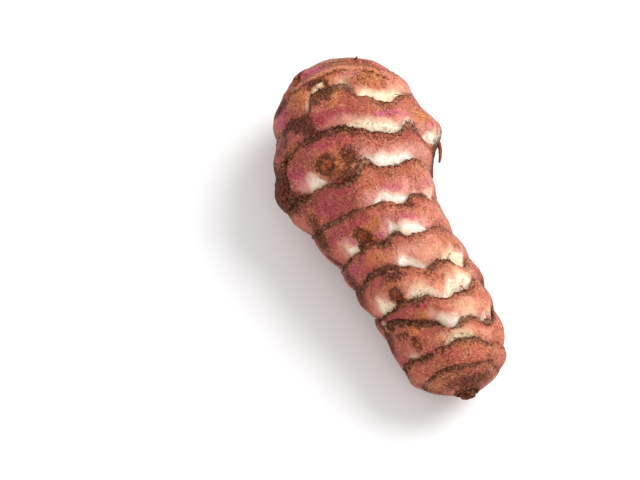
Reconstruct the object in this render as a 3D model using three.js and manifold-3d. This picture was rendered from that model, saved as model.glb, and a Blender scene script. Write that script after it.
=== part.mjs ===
// A Jerusalem artichoke: one tuber as lifted and washed, lying on its side. Millimetres, +Z up.
// +X runs from the stolon end, where it hung on the plant, to the growing tip. Angles are in degrees round
// the tuber, 0 on top, rising towards -Y. The origin is on the surface it lies on, under its middle.
import * as THREE from "three";
import { ParametricGeometry } from "three/addons/geometries/ParametricGeometry.js";
import { mergeVertices } from "three/addons/utils/BufferGeometryUtils.js";
import Module from "manifold-3d";

// ---- driving dimensions -------------------------------------------------------------------------------

// Cross-sections every 8 mm from x = -52: how far the middle swings in y, its height, half the width, and
// the reach up and down.
const FIRST_SECTION = -52;
const SECTION_STEP = 8;
const SECTIONS = [
  [-14.2, 15.0, 12.5, 12.0, 12.0],
  [-13.4, 14.1, 14.2, 13.5, 13.7],
  [-12.5, 14.0, 15.0, 14.3, 14.3],
  [-10.5, 15.2, 15.5, 14.8, 14.6],
  [-8.0, 16.6, 16.5, 15.5, 15.2],
  [-5.5, 17.4, 16.8, 15.8, 15.6],
  [-2.5, 18.0, 17.8, 16.6, 16.4],
  [-1.0, 18.5, 18.5, 17.5, 17.5],
  [0.0, 19.7, 20.0, 19.0, 19.5],
  [0.0, 20.6, 22.6, 21.0, 21.0],
  [-0.5, 20.7, 22.4, 21.0, 21.0],
  [0.4, 20.5, 20.8, 20.0, 19.8],
  [1.2, 20.3, 17.2, 17.8, 18.0],
  [3.4, 19.6, 12.4, 14.6, 15.0],
];
const SECTION_CURVES = [0, 1, 2, 3, 4].map(
  (column) =>
    new THREE.CatmullRomCurve3(
      SECTIONS.map((row, i) => new THREE.Vector3(i, row[column], 0)),
      false,
      "catmullrom",
    ),
);

// The two ends close over these lengths.
const TAIL_END = -53;
const TIP_END = 52.5;
const TAIL_CAP = 13;
const TIP_CAP = 17;
const CAP_REACH = 0.962;
const CAP_POWER = 2.6;

// Broad swellings: angle, x, half-angle, half-length, height.
const SWELLINGS = [
  [-88, 13, 26, 9, 5.2],
  [80, 23, 12, 5, 1.5],
  [-50, 43, 15, 6, 1.0],
  [68, 30, 18, 7, -2.0],
  [92, 15, 16, 6, -1.4],
  [78, -3, 24, 8, -1.1],
];

// The rings left by its scale leaves, from the stolon end to the tip: x, step at the edge, bulge of the roll
// that follows it, and the lobes of the edge as [angle, rise, half-angle, steepness]. Scale leaves grow in
// opposite pairs, so each lobe shows again on the far side, a little lower.
const RINGS = [
  { at: -49.2, step: 0.6, bulge: 0.5, lobes: [[-30, 0.6, 20, 3], [40, 0.5, 18, 3]] },
  { at: -43.6, step: 0.8, bulge: 0.8, lobes: [[-43, -1, 12, 3], [8, 0.9, 16, 3], [36, -0.8, 12, 3]] },
  {
    at: -37.3,
    step: 1.2,
    bulge: 1.0,
    lobes: [[-75, 6, 42, 2.5], [-1, -2, 10, 3], [26, 0.4, 8, 3], [44, -1.2, 10, 3], [75, 1.5, 14, 3]],
  },
  { at: -29.2, step: 1.0, bulge: 1.0, lobes: [[4, -1.4, 12, 4], [66, 4.5, 24, 3]] },
  {
    at: -20.0,
    step: 1.1,
    bulge: 0.9,
    lobes: [[-45, 0.8, 24, 4], [2, -2, 10, 3], [42, -1.9, 11, 3], [75, 2.4, 18, 3]],
  },
  { at: -12.3, step: 1.1, bulge: 0.9, lobes: [[-37, 1.2, 8, 4], [-8, 2, 7, 4], [55, 2.7, 36, 3]] },
  { at: -1.4, step: 0.9, bulge: 0.7, lobes: [[14, -1.1, 9, 3], [37, 1.5, 14, 4], [75, 3.5, 18, 3]] },
  { at: 8.2, step: 1.0, bulge: 0.7, lobes: [[-25, -1.8, 14, 3], [-4, 2.6, 7, 3], [52, 2.8, 22, 3]] },
  { at: 16.9, step: 1.1, bulge: 0.6, lobes: [[-32, 4.3, 34, 3], [41, 3.4, 10, 3]] },
  { at: 29.0, step: 1.2, bulge: 0.5, lobes: [[-17.5, 5.5, 18, 10], [22, -2.5, 9, 3], [62, 3, 18, 3]] },
  { at: 41.5, step: 0.7, bulge: 0.3, lobes: [[-5, 2.6, 22, 3], [-47, -1.2, 12, 3], [45, -2, 16, 3]] },
  { at: 47.2, step: 0.6, bulge: 0.2, lobes: [[-75, 0.8, 22, 3], [55, 0.8, 24, 3]] },
];
const FAR_SIDE_RISE = 0.8;
const LIP_SHARE = 0.35; // of each step, how much stands up as a lip; the rest is the groove behind it
const LIP_POWER = 6;
const GROOVE_POWER = 4;
const EDGE_GAP = 0.4; // along x, from the rim down to the foot of the next roll

// Eyes: angle, x, size. They sit in the rolls, on opposite sides, each pair a quarter turn from the last.
const EYES = [
  [-42, 44.5, 0.75],
  [136, 44.0, 0.75],
  [142, 33.0, 1.0],
  [62, 21.5, 0.8],
  [-118, 20.5, 1.1],
  [-33, 12.0, 1.15],
  [144, 11.5, 1.1],
  [47, 3.5, 0.75],
  [-133, 2.5, 1.0],
  [-34.5, -8.9, 1.0],
  [144, -8.5, 1.0],
  [42, -17.0, 0.8],
  [-136, -17.5, 0.9],
  [-38, -27.0, 0.95],
  [140, -26.0, 0.95],
  [47.5, -36.2, 0.7],
  [-130, -36.0, 0.8],
  [-43, -41.0, 0.6],
  [137, -41.0, 0.6],
];
const EYE_RISE = 1.4;
const EYE_RADIUS = 4.4;
const BUD_RADIUS = 2.4; // the bud in the middle of an eye of size 1
const BUD_HEIGHT = 0.9;
const BUD_LEAN = 10; // degrees, towards the tip
const BUD_SIDES = 8;

// Broad lumps all over: height, turns round the tuber, wave length along it, phase in degrees.
const LUMPS = [
  [0.35, 3, 47, 20],
  [0.25, 5, 31, 140],
  [0.18, 7, 23, 260],
];

// The stolon scar and the tip bud, as [share of the end's radius, how far past the end].
const SCAR_RIM = [[1.0, 0.0], [0.86, 0.7], [0.74, 0.8], [0.66, 0.1]];
const SCAR_CORE = [[0.6, -0.1], [0.55, 1.3], [0.45, 2.1], [0.2, 1.8]];
const SCAR_MIDDLE = 1.6;
const TIP_BUD = [[1.0, 0.0], [0.88, 0.6], [0.7, 1.0], [0.62, 1.1], [0.5, 1.6], [0.25, 2.2]];
const TIP_BUD_MIDDLE = 2.5;
const TIP_BUD_DROP = 2.4; // how far the bud's point sits below the middle of the end

// Broken roots: angle, x, length, thickness, lean towards the tip in degrees.
const ROOTS = [
  [18, 44.6, 1.6, 1.0, 10],
  [83, 19.6, 5.8, 1.1, -79],
  [-122, 33.0, 3.0, 0.9, 25],
  [122, 27.0, 3.0, 0.9, 40],
  [118, -1.0, 3.5, 1.0, 20],
  [-142, -8.0, 3.0, 0.9, -20],
  [116, -26.5, 3.0, 0.9, 30],
  [-138, -33.0, 3.0, 0.9, -15],
];
const ROOT_SUNK = 2.0;
const ROOT_SIDES = 5;

const COLUMNS = 64; // points round the tuber
const PHASES_LONG = [0, 0.16, 0.45, 0.8, 1]; // rows of points across one long roll, from foot to rim
const PHASES_SHORT = [0, 0.3, 0.7, 1];
const LONG_ROLL = 7;
const END_ROWS = 3; // rows from the first and the last ring out to the ends
const FLOOR_CUT = 0.8; // how much of the lowest point is pressed flat where it rests

// ---- the skin -----------------------------------------------------------------------------------------

function clamp01(value) {
  return Math.min(Math.max(value, 0), 1);
}

// The angle from one direction round to another, between -180 and 180.
function turnFrom(start, angle) {
  return THREE.MathUtils.euclideanModulo(angle - start + 180, 360) - 180;
}

function bump(offset, width, power = 2) {
  return Math.exp(-Math.pow(Math.abs(offset) / width, power));
}

function sectionAt(x) {
  const t = clamp01((x - FIRST_SECTION) / (SECTION_STEP * (SECTIONS.length - 1)));
  return SECTION_CURVES.map((curve) => curve.getPoint(t).y);
}

// How much of its full section the tuber has at x: 1 along the middle, falling off over each end.
function capShare(x) {
  const tail = CAP_REACH * clamp01((TAIL_END + TAIL_CAP - x) / TAIL_CAP);
  const tip = CAP_REACH * clamp01((x - TIP_END + TIP_CAP) / TIP_CAP);
  return Math.sqrt(1 - Math.pow(tail, CAP_POWER)) * Math.sqrt(1 - Math.pow(tip, CAP_POWER));
}

function ringEdge(ring, angle) {
  return ring.lobes.reduce((x, [middle, rise, width, power]) => {
    const near = bump(turnFrom(middle, angle), width, power);
    const far = bump(turnFrom(middle + 180, angle), width, power);
    return x + rise * (near + FAR_SIDE_RISE * far);
  }, ring.at);
}

// Height of the relief across one roll: a groove at its foot, the bulge, and a lip at its rim.
function rollRelief(ring, nextRing, phase) {
  const groove = (1 - LIP_SHARE) * ring.step * Math.pow(1 - phase, GROOVE_POWER);
  const lip = LIP_SHARE * nextRing.step * Math.pow(phase, LIP_POWER);
  return ring.bulge * 4 * phase * (1 - phase) + lip - groove;
}

function lumpRelief(x, angle) {
  return LUMPS.reduce((sum, [height, turns, length, shift]) => {
    const round = THREE.MathUtils.degToRad(turns * angle + shift);
    return sum + height * Math.sin(round + (2 * Math.PI * x) / length);
  }, 0);
}

// A point of the skin, with `relief` added to its distance from the middle.
function skinPoint(x, angle, relief) {
  const [y, z, halfWidth, up, down] = sectionAt(x);
  const round = THREE.MathUtils.degToRad(angle);
  const sideways = Math.sin(round);
  const upwards = Math.cos(round);
  let radius = 1 / Math.hypot(sideways / halfWidth, upwards / (upwards > 0 ? up : down));
  for (const [at, from, halfAngle, halfLength, height] of SWELLINGS) {
    radius += height * bump(turnFrom(at, angle), halfAngle) * bump(x - from, halfLength);
  }
  for (const [at, from, size] of EYES) {
    const across = THREE.MathUtils.degToRad(turnFrom(at, angle)) * radius;
    radius += EYE_RISE * size * bump(Math.hypot(across, x - from), EYE_RADIUS * size);
  }
  radius = (radius + relief + lumpRelief(x, angle)) * capShare(x);
  return new THREE.Vector3(x, y - sideways * radius, z + upwards * radius);
}

// One row of points for each phase of each roll. A row is a function from an angle to a point.
function rollRows() {
  return RINGS.slice(0, -1).flatMap((ring, i) => {
    const next = RINGS[i + 1];
    const phases = next.at - ring.at > LONG_ROLL ? PHASES_LONG : PHASES_SHORT;
    return phases.map((phase) => (angle) => {
      const foot = ringEdge(ring, angle) + EDGE_GAP;
      const x = THREE.MathUtils.lerp(foot, ringEdge(next, angle), phase);
      return skinPoint(x, angle, rollRelief(ring, next, phase));
    });
  });
}

// Rows from a ring out to one end of the tuber, closer together as it rounds over.
function endRows(ring, end, count, relief) {
  return Array.from({ length: count }, (_, i) => (angle) => {
    const share = Math.sin(((i / count) * Math.PI) / 2);
    return skinPoint(THREE.MathUtils.lerp(ringEdge(ring, angle), end, share), angle, relief * (1 - share));
  });
}

// Rows that close an end over its scar or bud. `way` is -1 at the stolon end and 1 at the tip.
function closingRows(profile, middle, end, way, drop) {
  const [y, z] = sectionAt(end);
  const pole = new THREE.Vector3(end + way * middle, y, z - drop);
  const rows = profile.map(([share, past]) => (angle) => {
    const edge = skinPoint(end, angle, 0);
    const point = edge.lerp(pole, 1 - share);
    point.x = end + way * past;
    return point;
  });
  return [...rows, () => pole.clone()];
}

function tuberGeometry() {
  const first = RINGS[0];
  const last = RINGS[RINGS.length - 1];
  const rows = [
    ...closingRows([...SCAR_RIM, ...SCAR_CORE], SCAR_MIDDLE, TAIL_END, -1, 0).reverse(),
    ...endRows(first, TAIL_END, END_ROWS, LIP_SHARE * first.step).reverse(),
    ...rollRows(),
    ...endRows({ ...last, at: last.at + EDGE_GAP }, TIP_END, END_ROWS, (LIP_SHARE - 1) * last.step),
    ...closingRows(TIP_BUD, TIP_BUD_MIDDLE, TIP_END, 1, TIP_BUD_DROP),
  ];
  const place = (u, v, target) => target.copy(rows[Math.round(v * (rows.length - 1))](360 * (u % 1)));
  return new ParametricGeometry(place, COLUMNS, rows.length - 1);
}

// ---- buds and roots -----------------------------------------------------------------------------------

// Turns a piece whose axis is +Y outwards from the skin at (angle, x), leant towards the tip.
function setOnSkin(geometry, angle, x, leanDegrees, sunk) {
  const round = THREE.MathUtils.degToRad(angle);
  const lean = THREE.MathUtils.degToRad(leanDegrees);
  const outwards = new THREE.Vector3(0, -Math.sin(round), Math.cos(round));
  const axis = outwards.clone().multiplyScalar(Math.cos(lean)).add(new THREE.Vector3(Math.sin(lean), 0, 0));
  const foot = skinPoint(x, angle, 0).addScaledVector(axis, -sunk);
  geometry.applyQuaternion(new THREE.Quaternion().setFromUnitVectors(THREE.Object3D.DEFAULT_UP, axis));
  return geometry.translate(foot.x, foot.y, foot.z);
}

function budGeometry([angle, x, size]) {
  const radius = BUD_RADIUS * size;
  const height = BUD_HEIGHT * size;
  const sunk = radius;
  const profile = [
    [0, 0],
    [radius * 0.9, 0],
    [radius, sunk * 0.98],
    [radius * 0.72, sunk + height * 0.55],
    [radius * 0.46, sunk + height * 0.35],
    [radius * 0.24, sunk + height * 0.8],
    [0, sunk + height],
  ].map(([r, h]) => new THREE.Vector2(r, h));
  return setOnSkin(new THREE.LatheGeometry(profile, BUD_SIDES), angle, x, BUD_LEAN, sunk);
}

function rootGeometry([angle, x, length, thickness, lean]) {
  const whole = length + ROOT_SUNK;
  const root = new THREE.CylinderGeometry(thickness * 0.28, thickness * 0.6, whole, ROOT_SIDES);
  return setOnSkin(root.translate(0, whole / 2, 0), angle, x, lean, ROOT_SUNK);
}

// ---- joining ------------------------------------------------------------------------------------------

const wasm = await Module();
wasm.setup();

function solidOf(geometry) {
  const plain = geometry.clone();
  plain.deleteAttribute("normal");
  plain.deleteAttribute("uv");
  const merged = mergeVertices(plain, 1e-4);
  const vertProperties = Float32Array.from(merged.attributes.position.array);
  const triVerts = Uint32Array.from(merged.index.array);
  return new wasm.Manifold(new wasm.Mesh({ numProp: 3, vertProperties, triVerts }));
}

function geometryOf(solid) {
  const { vertProperties, triVerts } = solid.getMesh();
  const geometry = new THREE.BufferGeometry();
  geometry.setAttribute("position", new THREE.BufferAttribute(vertProperties, 3));
  geometry.setIndex(new THREE.BufferAttribute(triVerts, 1));
  return geometry;
}

// Presses the lowest points flat and puts the origin under the middle of the tuber.
function settle(geometry) {
  geometry.computeBoundingBox();
  const floor = geometry.boundingBox.min.z + FLOOR_CUT;
  const position = geometry.attributes.position;
  for (let i = 0; i < position.count; i += 1) {
    position.setZ(i, Math.max(position.getZ(i), floor));
  }
  geometry.computeBoundingBox();
  const middle = geometry.boundingBox.getCenter(new THREE.Vector3());
  return geometry.translate(-middle.x, -middle.y, -floor);
}

const pieces = [tuberGeometry(), ...EYES.map(budGeometry), ...ROOTS.map(rootGeometry)];
const whole = pieces.map(solidOf).reduce((sum, piece) => sum.add(piece));
const geometry = settle(geometryOf(whole));
geometry.computeVertexNormals();

const skin = new THREE.MeshStandardMaterial({ color: 0xb0645a, roughness: 0.62, metalness: 0 });
const tuber = new THREE.Mesh(geometry, skin);
tuber.name = "tuber";

const jerusalemArtichoke = new THREE.Group();
jerusalemArtichoke.add(tuber);

export default jerusalemArtichoke;
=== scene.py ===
"""Dresses one Jerusalem artichoke: its ringed skin, the papery remains of its scale leaves, buds, broken
roots and fibres, and a plain pale stage. Sizes in the tables are millimetres and degrees; meshes are metres.

Angles run round the tuber from 0 on top, rising towards -Y, and x runs from the stolon end to the tip."""
import math

import bpy
import numpy as np
from bpy.props import FloatProperty, FloatVectorProperty, IntProperty, PointerProperty
from mathutils import Matrix, Vector


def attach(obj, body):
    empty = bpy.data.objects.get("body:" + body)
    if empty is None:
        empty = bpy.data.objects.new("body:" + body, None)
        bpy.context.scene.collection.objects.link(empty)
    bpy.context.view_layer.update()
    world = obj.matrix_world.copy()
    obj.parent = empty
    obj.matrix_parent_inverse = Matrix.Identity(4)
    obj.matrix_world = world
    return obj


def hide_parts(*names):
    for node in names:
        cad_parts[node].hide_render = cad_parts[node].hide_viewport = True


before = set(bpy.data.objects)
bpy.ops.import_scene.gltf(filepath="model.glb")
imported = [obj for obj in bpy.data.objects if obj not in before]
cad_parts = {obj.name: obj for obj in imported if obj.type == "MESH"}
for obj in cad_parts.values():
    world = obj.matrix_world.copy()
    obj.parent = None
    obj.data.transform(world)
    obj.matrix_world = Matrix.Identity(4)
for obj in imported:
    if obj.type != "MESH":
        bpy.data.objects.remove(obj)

bl_info = {
    "name": "Jerusalem artichoke",
    "version": (1, 0, 0),
    "blender": (4, 5, 0),
    "location": "3D View > Sidebar > Artichoke",
    "description": "Skin, scale remains, buds and roots of one tuber, with its stage",
    "category": "Add Mesh",
}

MM = 0.001
NODE = "tuber"
BODY = "root"

# ---- shape, as the solid has it --------------------------

# From the tuber's own lengthwise axis to the frame, whose origin is under the middle of its box.
SHIFT = np.array([0.05, 1.094, 0.289])

FIRST_SECTION = -52.0
SECTION_STEP = 8.0
# Every 8 mm: how far the middle swings in y, its height, half the width, and the reach up and down.
SECTIONS = np.array([
    [-14.2, 15.0, 12.5, 12.0, 12.0],
    [-13.4, 14.1, 14.2, 13.5, 13.7],
    [-12.5, 14.0, 15.0, 14.3, 14.3],
    [-10.5, 15.2, 15.5, 14.8, 14.6],
    [-8.0, 16.6, 16.5, 15.5, 15.2],
    [-5.5, 17.4, 16.8, 15.8, 15.6],
    [-2.5, 18.0, 17.8, 16.6, 16.4],
    [-1.0, 18.5, 18.5, 17.5, 17.5],
    [0.0, 19.7, 20.0, 19.0, 19.5],
    [0.0, 20.6, 22.6, 21.0, 21.0],
    [-0.5, 20.7, 22.4, 21.0, 21.0],
    [0.4, 20.5, 20.8, 20.0, 19.8],
    [1.2, 20.3, 17.2, 17.8, 18.0],
    [3.4, 19.6, 12.4, 14.6, 15.0],
])
TAIL_END, TIP_END = -53.0, 52.5
TAIL_CAP, TIP_CAP = 13.0, 17.0
CAP_REACH, CAP_POWER = 0.962, 2.6

# Broad swellings: angle, x, half-angle, half-length, height.
SWELLINGS = [
    (-88, 13, 26, 9, 5.2),
    (80, 23, 12, 5, 1.5),
    (-50, 43, 15, 6, 1.0),
    (68, 30, 18, 7, -2.0),
    (92, 15, 16, 6, -1.4),
    (78, -3, 24, 8, -1.1),
]

# Leaf-scar rings from the stolon end to the tip: x, step, bulge of the roll after it, and the edge's lobes
# as (angle, rise, half-angle, steepness), each repeated a little lower on the far side. The last two steps
# are a little deeper than the solid's.
RINGS = [
    (-49.2, 0.6, 0.5, [(-30, 0.6, 20, 3), (40, 0.5, 18, 3)]),
    (-43.6, 0.8, 0.8, [(-43, -1, 12, 3), (8, 0.9, 16, 3), (36, -0.8, 12, 3)]),
    (-37.3, 1.2, 1.0, [
        (-75, 6, 42, 2.5), (-1, -2, 10, 3), (26, 0.4, 8, 3), (44, -1.2, 10, 3), (75, 1.5, 14, 3),
    ]),
    (-29.2, 1.0, 1.0, [(4, -1.4, 12, 4), (66, 4.5, 24, 3)]),
    (-20.0, 1.1, 0.9, [(-45, 0.8, 24, 4), (2, -2, 10, 3), (42, -1.9, 11, 3), (75, 2.4, 18, 3)]),
    (-12.3, 1.1, 0.9, [(-37, 1.2, 8, 4), (-8, 2, 7, 4), (55, 2.7, 36, 3)]),
    (-1.4, 0.9, 0.7, [(14, -1.1, 9, 3), (37, 1.5, 14, 4), (75, 3.5, 18, 3)]),
    (8.2, 1.0, 0.7, [(-25, -1.8, 14, 3), (-4, 2.6, 7, 3), (52, 2.8, 22, 3)]),
    (16.9, 1.1, 0.6, [(-32, 4.3, 34, 3), (41, 3.4, 10, 3)]),
    (29.0, 1.2, 0.5, [(-17.5, 5.5, 18, 10), (22, -2.5, 9, 3), (62, 3, 18, 3)]),
    (41.5, 1.1, 0.3, [(-5, 2.6, 22, 3), (-47, -1.2, 12, 3), (45, -2, 16, 3)]),
    (47.2, 0.8, 0.2, [(-75, 0.8, 22, 3), (55, 0.8, 24, 3)]),
]
FAR_SIDE_RISE = 0.8
LIP_SHARE, LIP_POWER, GROOVE_POWER = 0.35, 6, 4
CROWN = 0.3  # how much fuller the rolls are than the solid's

# Eyes: angle, x, size, and how brown and corky the middle is.
EYES = [
    (-42, 44.5, 0.75, 0.8),
    (136, 44.0, 0.75, 0.7),
    (142, 33.0, 1.0, 0.8),
    (62, 21.5, 0.8, 0.3),
    (-118, 20.5, 1.1, 0.9),
    (-33, 12.0, 1.15, 1.0),
    (144, 11.5, 1.1, 0.8),
    (47, 3.5, 0.75, 0.2),
    (-133, 2.5, 1.0, 0.9),
    (-34.5, -8.9, 1.0, 1.0),
    (144, -8.5, 1.0, 0.9),
    (42, -17.0, 0.8, 0.3),
    (-136, -17.5, 0.9, 0.8),
    (-38, -27.0, 0.95, 1.0),
    (140, -26.0, 0.95, 0.8),
    (47.5, -36.2, 0.7, 0.4),
    (-130, -36.0, 0.8, 0.8),
    (-43, -41.0, 0.6, 0.8),
    (137, -41.0, 0.6, 0.7),
]
EYE_RISE, EYE_RADIUS = 1.4, 4.4
EYE_TURN_RADIUS = 17.0  # turns angles into distances across an eye

# Broad lumps: height, turns round the tuber, wave length, phase in degrees.
LUMPS = [(0.35, 3, 47, 20), (0.25, 5, 31, 140), (0.18, 7, 23, 260)]

# The stolon scar and the tip bud: share of the end's radius, how far past the end.
SCAR = np.array([
    [1.0, 0.0], [0.86, 0.7], [0.74, 0.8], [0.66, 0.1], [0.6, -0.1],
    [0.55, 1.3], [0.45, 2.1], [0.2, 1.8], [0, 1.6],
])
TIP_BUD = np.array([[1.0, 0.0], [0.88, 0.6], [0.7, 1.0], [0.62, 1.1], [0.5, 1.6], [0.25, 2.2], [0, 2.5]])
TIP_BUD_DROP = 2.4
SCAR_TONES = {"soil": 0.8, "fringe": 0.5}
TIP_TONES = {"magenta": 0.8, "bare": 0.4}

# ---- marks on the skin -----------------------------------

# Pale bare crescents, where a scale leaf clasped the tuber: ring, angle from and to, height, lean of the
# highest place (above 1 leans towards the second angle), warmth from white to cream, strength.
BARE = [
    (9, -2, 49, 4.9, 0.85, 0.9, 1), (9, -42, -32, 4, 1, 1, 0.45), (9, 54, 84, 1.8, 1, 0.8, 0.5),
    (9, -14, 8, 2.6, 1, 1, 0.62),
    (8, -17, 36, 4.6, 1.15, 0.6, 1), (8, 28, 52, 2.4, 1, 0.6, 0.8), (8, 54, 92, 6.2, 1, 0.5, 0.85),
    (8, -49, -38, 1.6, 1, 0.8, 0.6),
    (7, -6, 52, 4.3, 0.8, 0.15, 1), (7, -64, -39, 4.4, 1.1, 0.4, 0.95),
    (6, -13, 28, 4, 1.15, 0.15, 1), (6, 27, 40, 1.9, 1, 0.4, 0.7), (6, 41, 66, 4.6, 1, 0.3, 0.6),
    (5, -14, 30, 4.5, 0.9, 0.1, 1), (5, -64, -41, 3.5, 1.1, 0.5, 0.9),
    (4, -22, 10, 4.2, 0.8, 0.3, 0.95), (4, 22, 56, 5.2, 1.1, 0.1, 1),
    (3, -34, 12, 4.4, 1, 1, 0.75), (3, 0, 52, 6.4, 1.1, 0.7, 0.9), (3, -76, -45, 4.8, 1.2, 0.6, 0.9),
    (2, -17, 14, 4.2, 0.9, 0.15, 1), (2, 34, 60, 4, 1, 0.3, 0.9), (2, -81, -70, 2.2, 1, 0.5, 0.8),
    (2, 8, 40, 4.6, 1, 1, 0.6),
    (1, -20, 26, 3.2, 1, 0.7, 0.75), (1, -70, -48, 2.2, 1, 0.5, 0.6),
]
# Dark papery remains below the edges, and one painted shadow just below an edge: ring, angle from and to,
# depth, strength, greyness.
FRINGES = [
    (9, -36, -15, 6.2, 1, 0.15), (9, -17, -9, 3.2, 0.6, 0.4), (9, -11, 0, 4.2, 0.9, 0.9),
    (9, 0, 50, 0.4, 0.6, 0.3),
    (8, -78, -44, 1, 0.8, 0.3), (8, -47, -3, 1.7, 1, 0), (8, -4, 30, 0.3, 0.6, 0.2),
    (8, 29, 52, 2.4, 0.85, 0.8),
    (7, -78, -60, 1.3, 0.95, 0.1), (7, -42, -12, 1, 0.85, 0.5), (7, -15, 2, 2.1, 0.95, 0.9),
    (7, 1, 50, 0.4, 0.6, 0.3),
    (6, -63, -37, 1.3, 0.95, 0.5), (6, -39, -21, 0.7, 0.85, 0.2), (6, -15, -2, 0.7, 0.8, 0.1),
    # Painted shadow: the ring-6 entry from 17 to 33 degrees, with its far copy, darkens the skin just below
    # that edge, and a scale remain is built there too.
    (6, 17, 33, 1.4, 0.8, 0.3), (6, 30, 43, 0.8, 0.75, 0.5),
    (5, -92, -56, 0.6, 0.9, 0), (5, -47, -28, 1.8, 1, 0.15), (5, -31, -15, 1.2, 0.95, 0.3),
    (5, -17, -1, 1.3, 0.95, 0.5), (5, -1, 50, 0.3, 0.5, 0.3),
    (4, -74, -19, 1.5, 1, 0.15), (4, -21, -11, 0.8, 0.85, 0.2), (4, 4, 17, 1.2, 0.85, 0.4),
    (4, 13, 33, 1.6, 0.75, 0.3), (4, 33, 52, 0.3, 0.6, 0.2),
    (3, -88, -43, 1.4, 1, 0.15), (3, -45, -27, 0.9, 0.95, 0.1), (3, -29, -9, 1.6, 1, 0.4),
    (3, -7, 11, 0.7, 0.85, 0.1), (3, 9, 35, 0.4, 0.82, 0.3),
    (2, -94, -38, 2, 1, 0.1), (2, -41, -10, 1.9, 1, 0.15), (2, -2, 62, 1.2, 0.82, 1),
    (1, -56, -33, 1.4, 1, 0.1), (1, -24, 44, 0.7, 0.8, 0.5), (1, -96, -60, 1, 0.9, 0.2),
    (0, -70, 30, 1, 0.8, 0.3), (0, 25, 90, 0.8, 0.8, 0.5),
]
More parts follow.
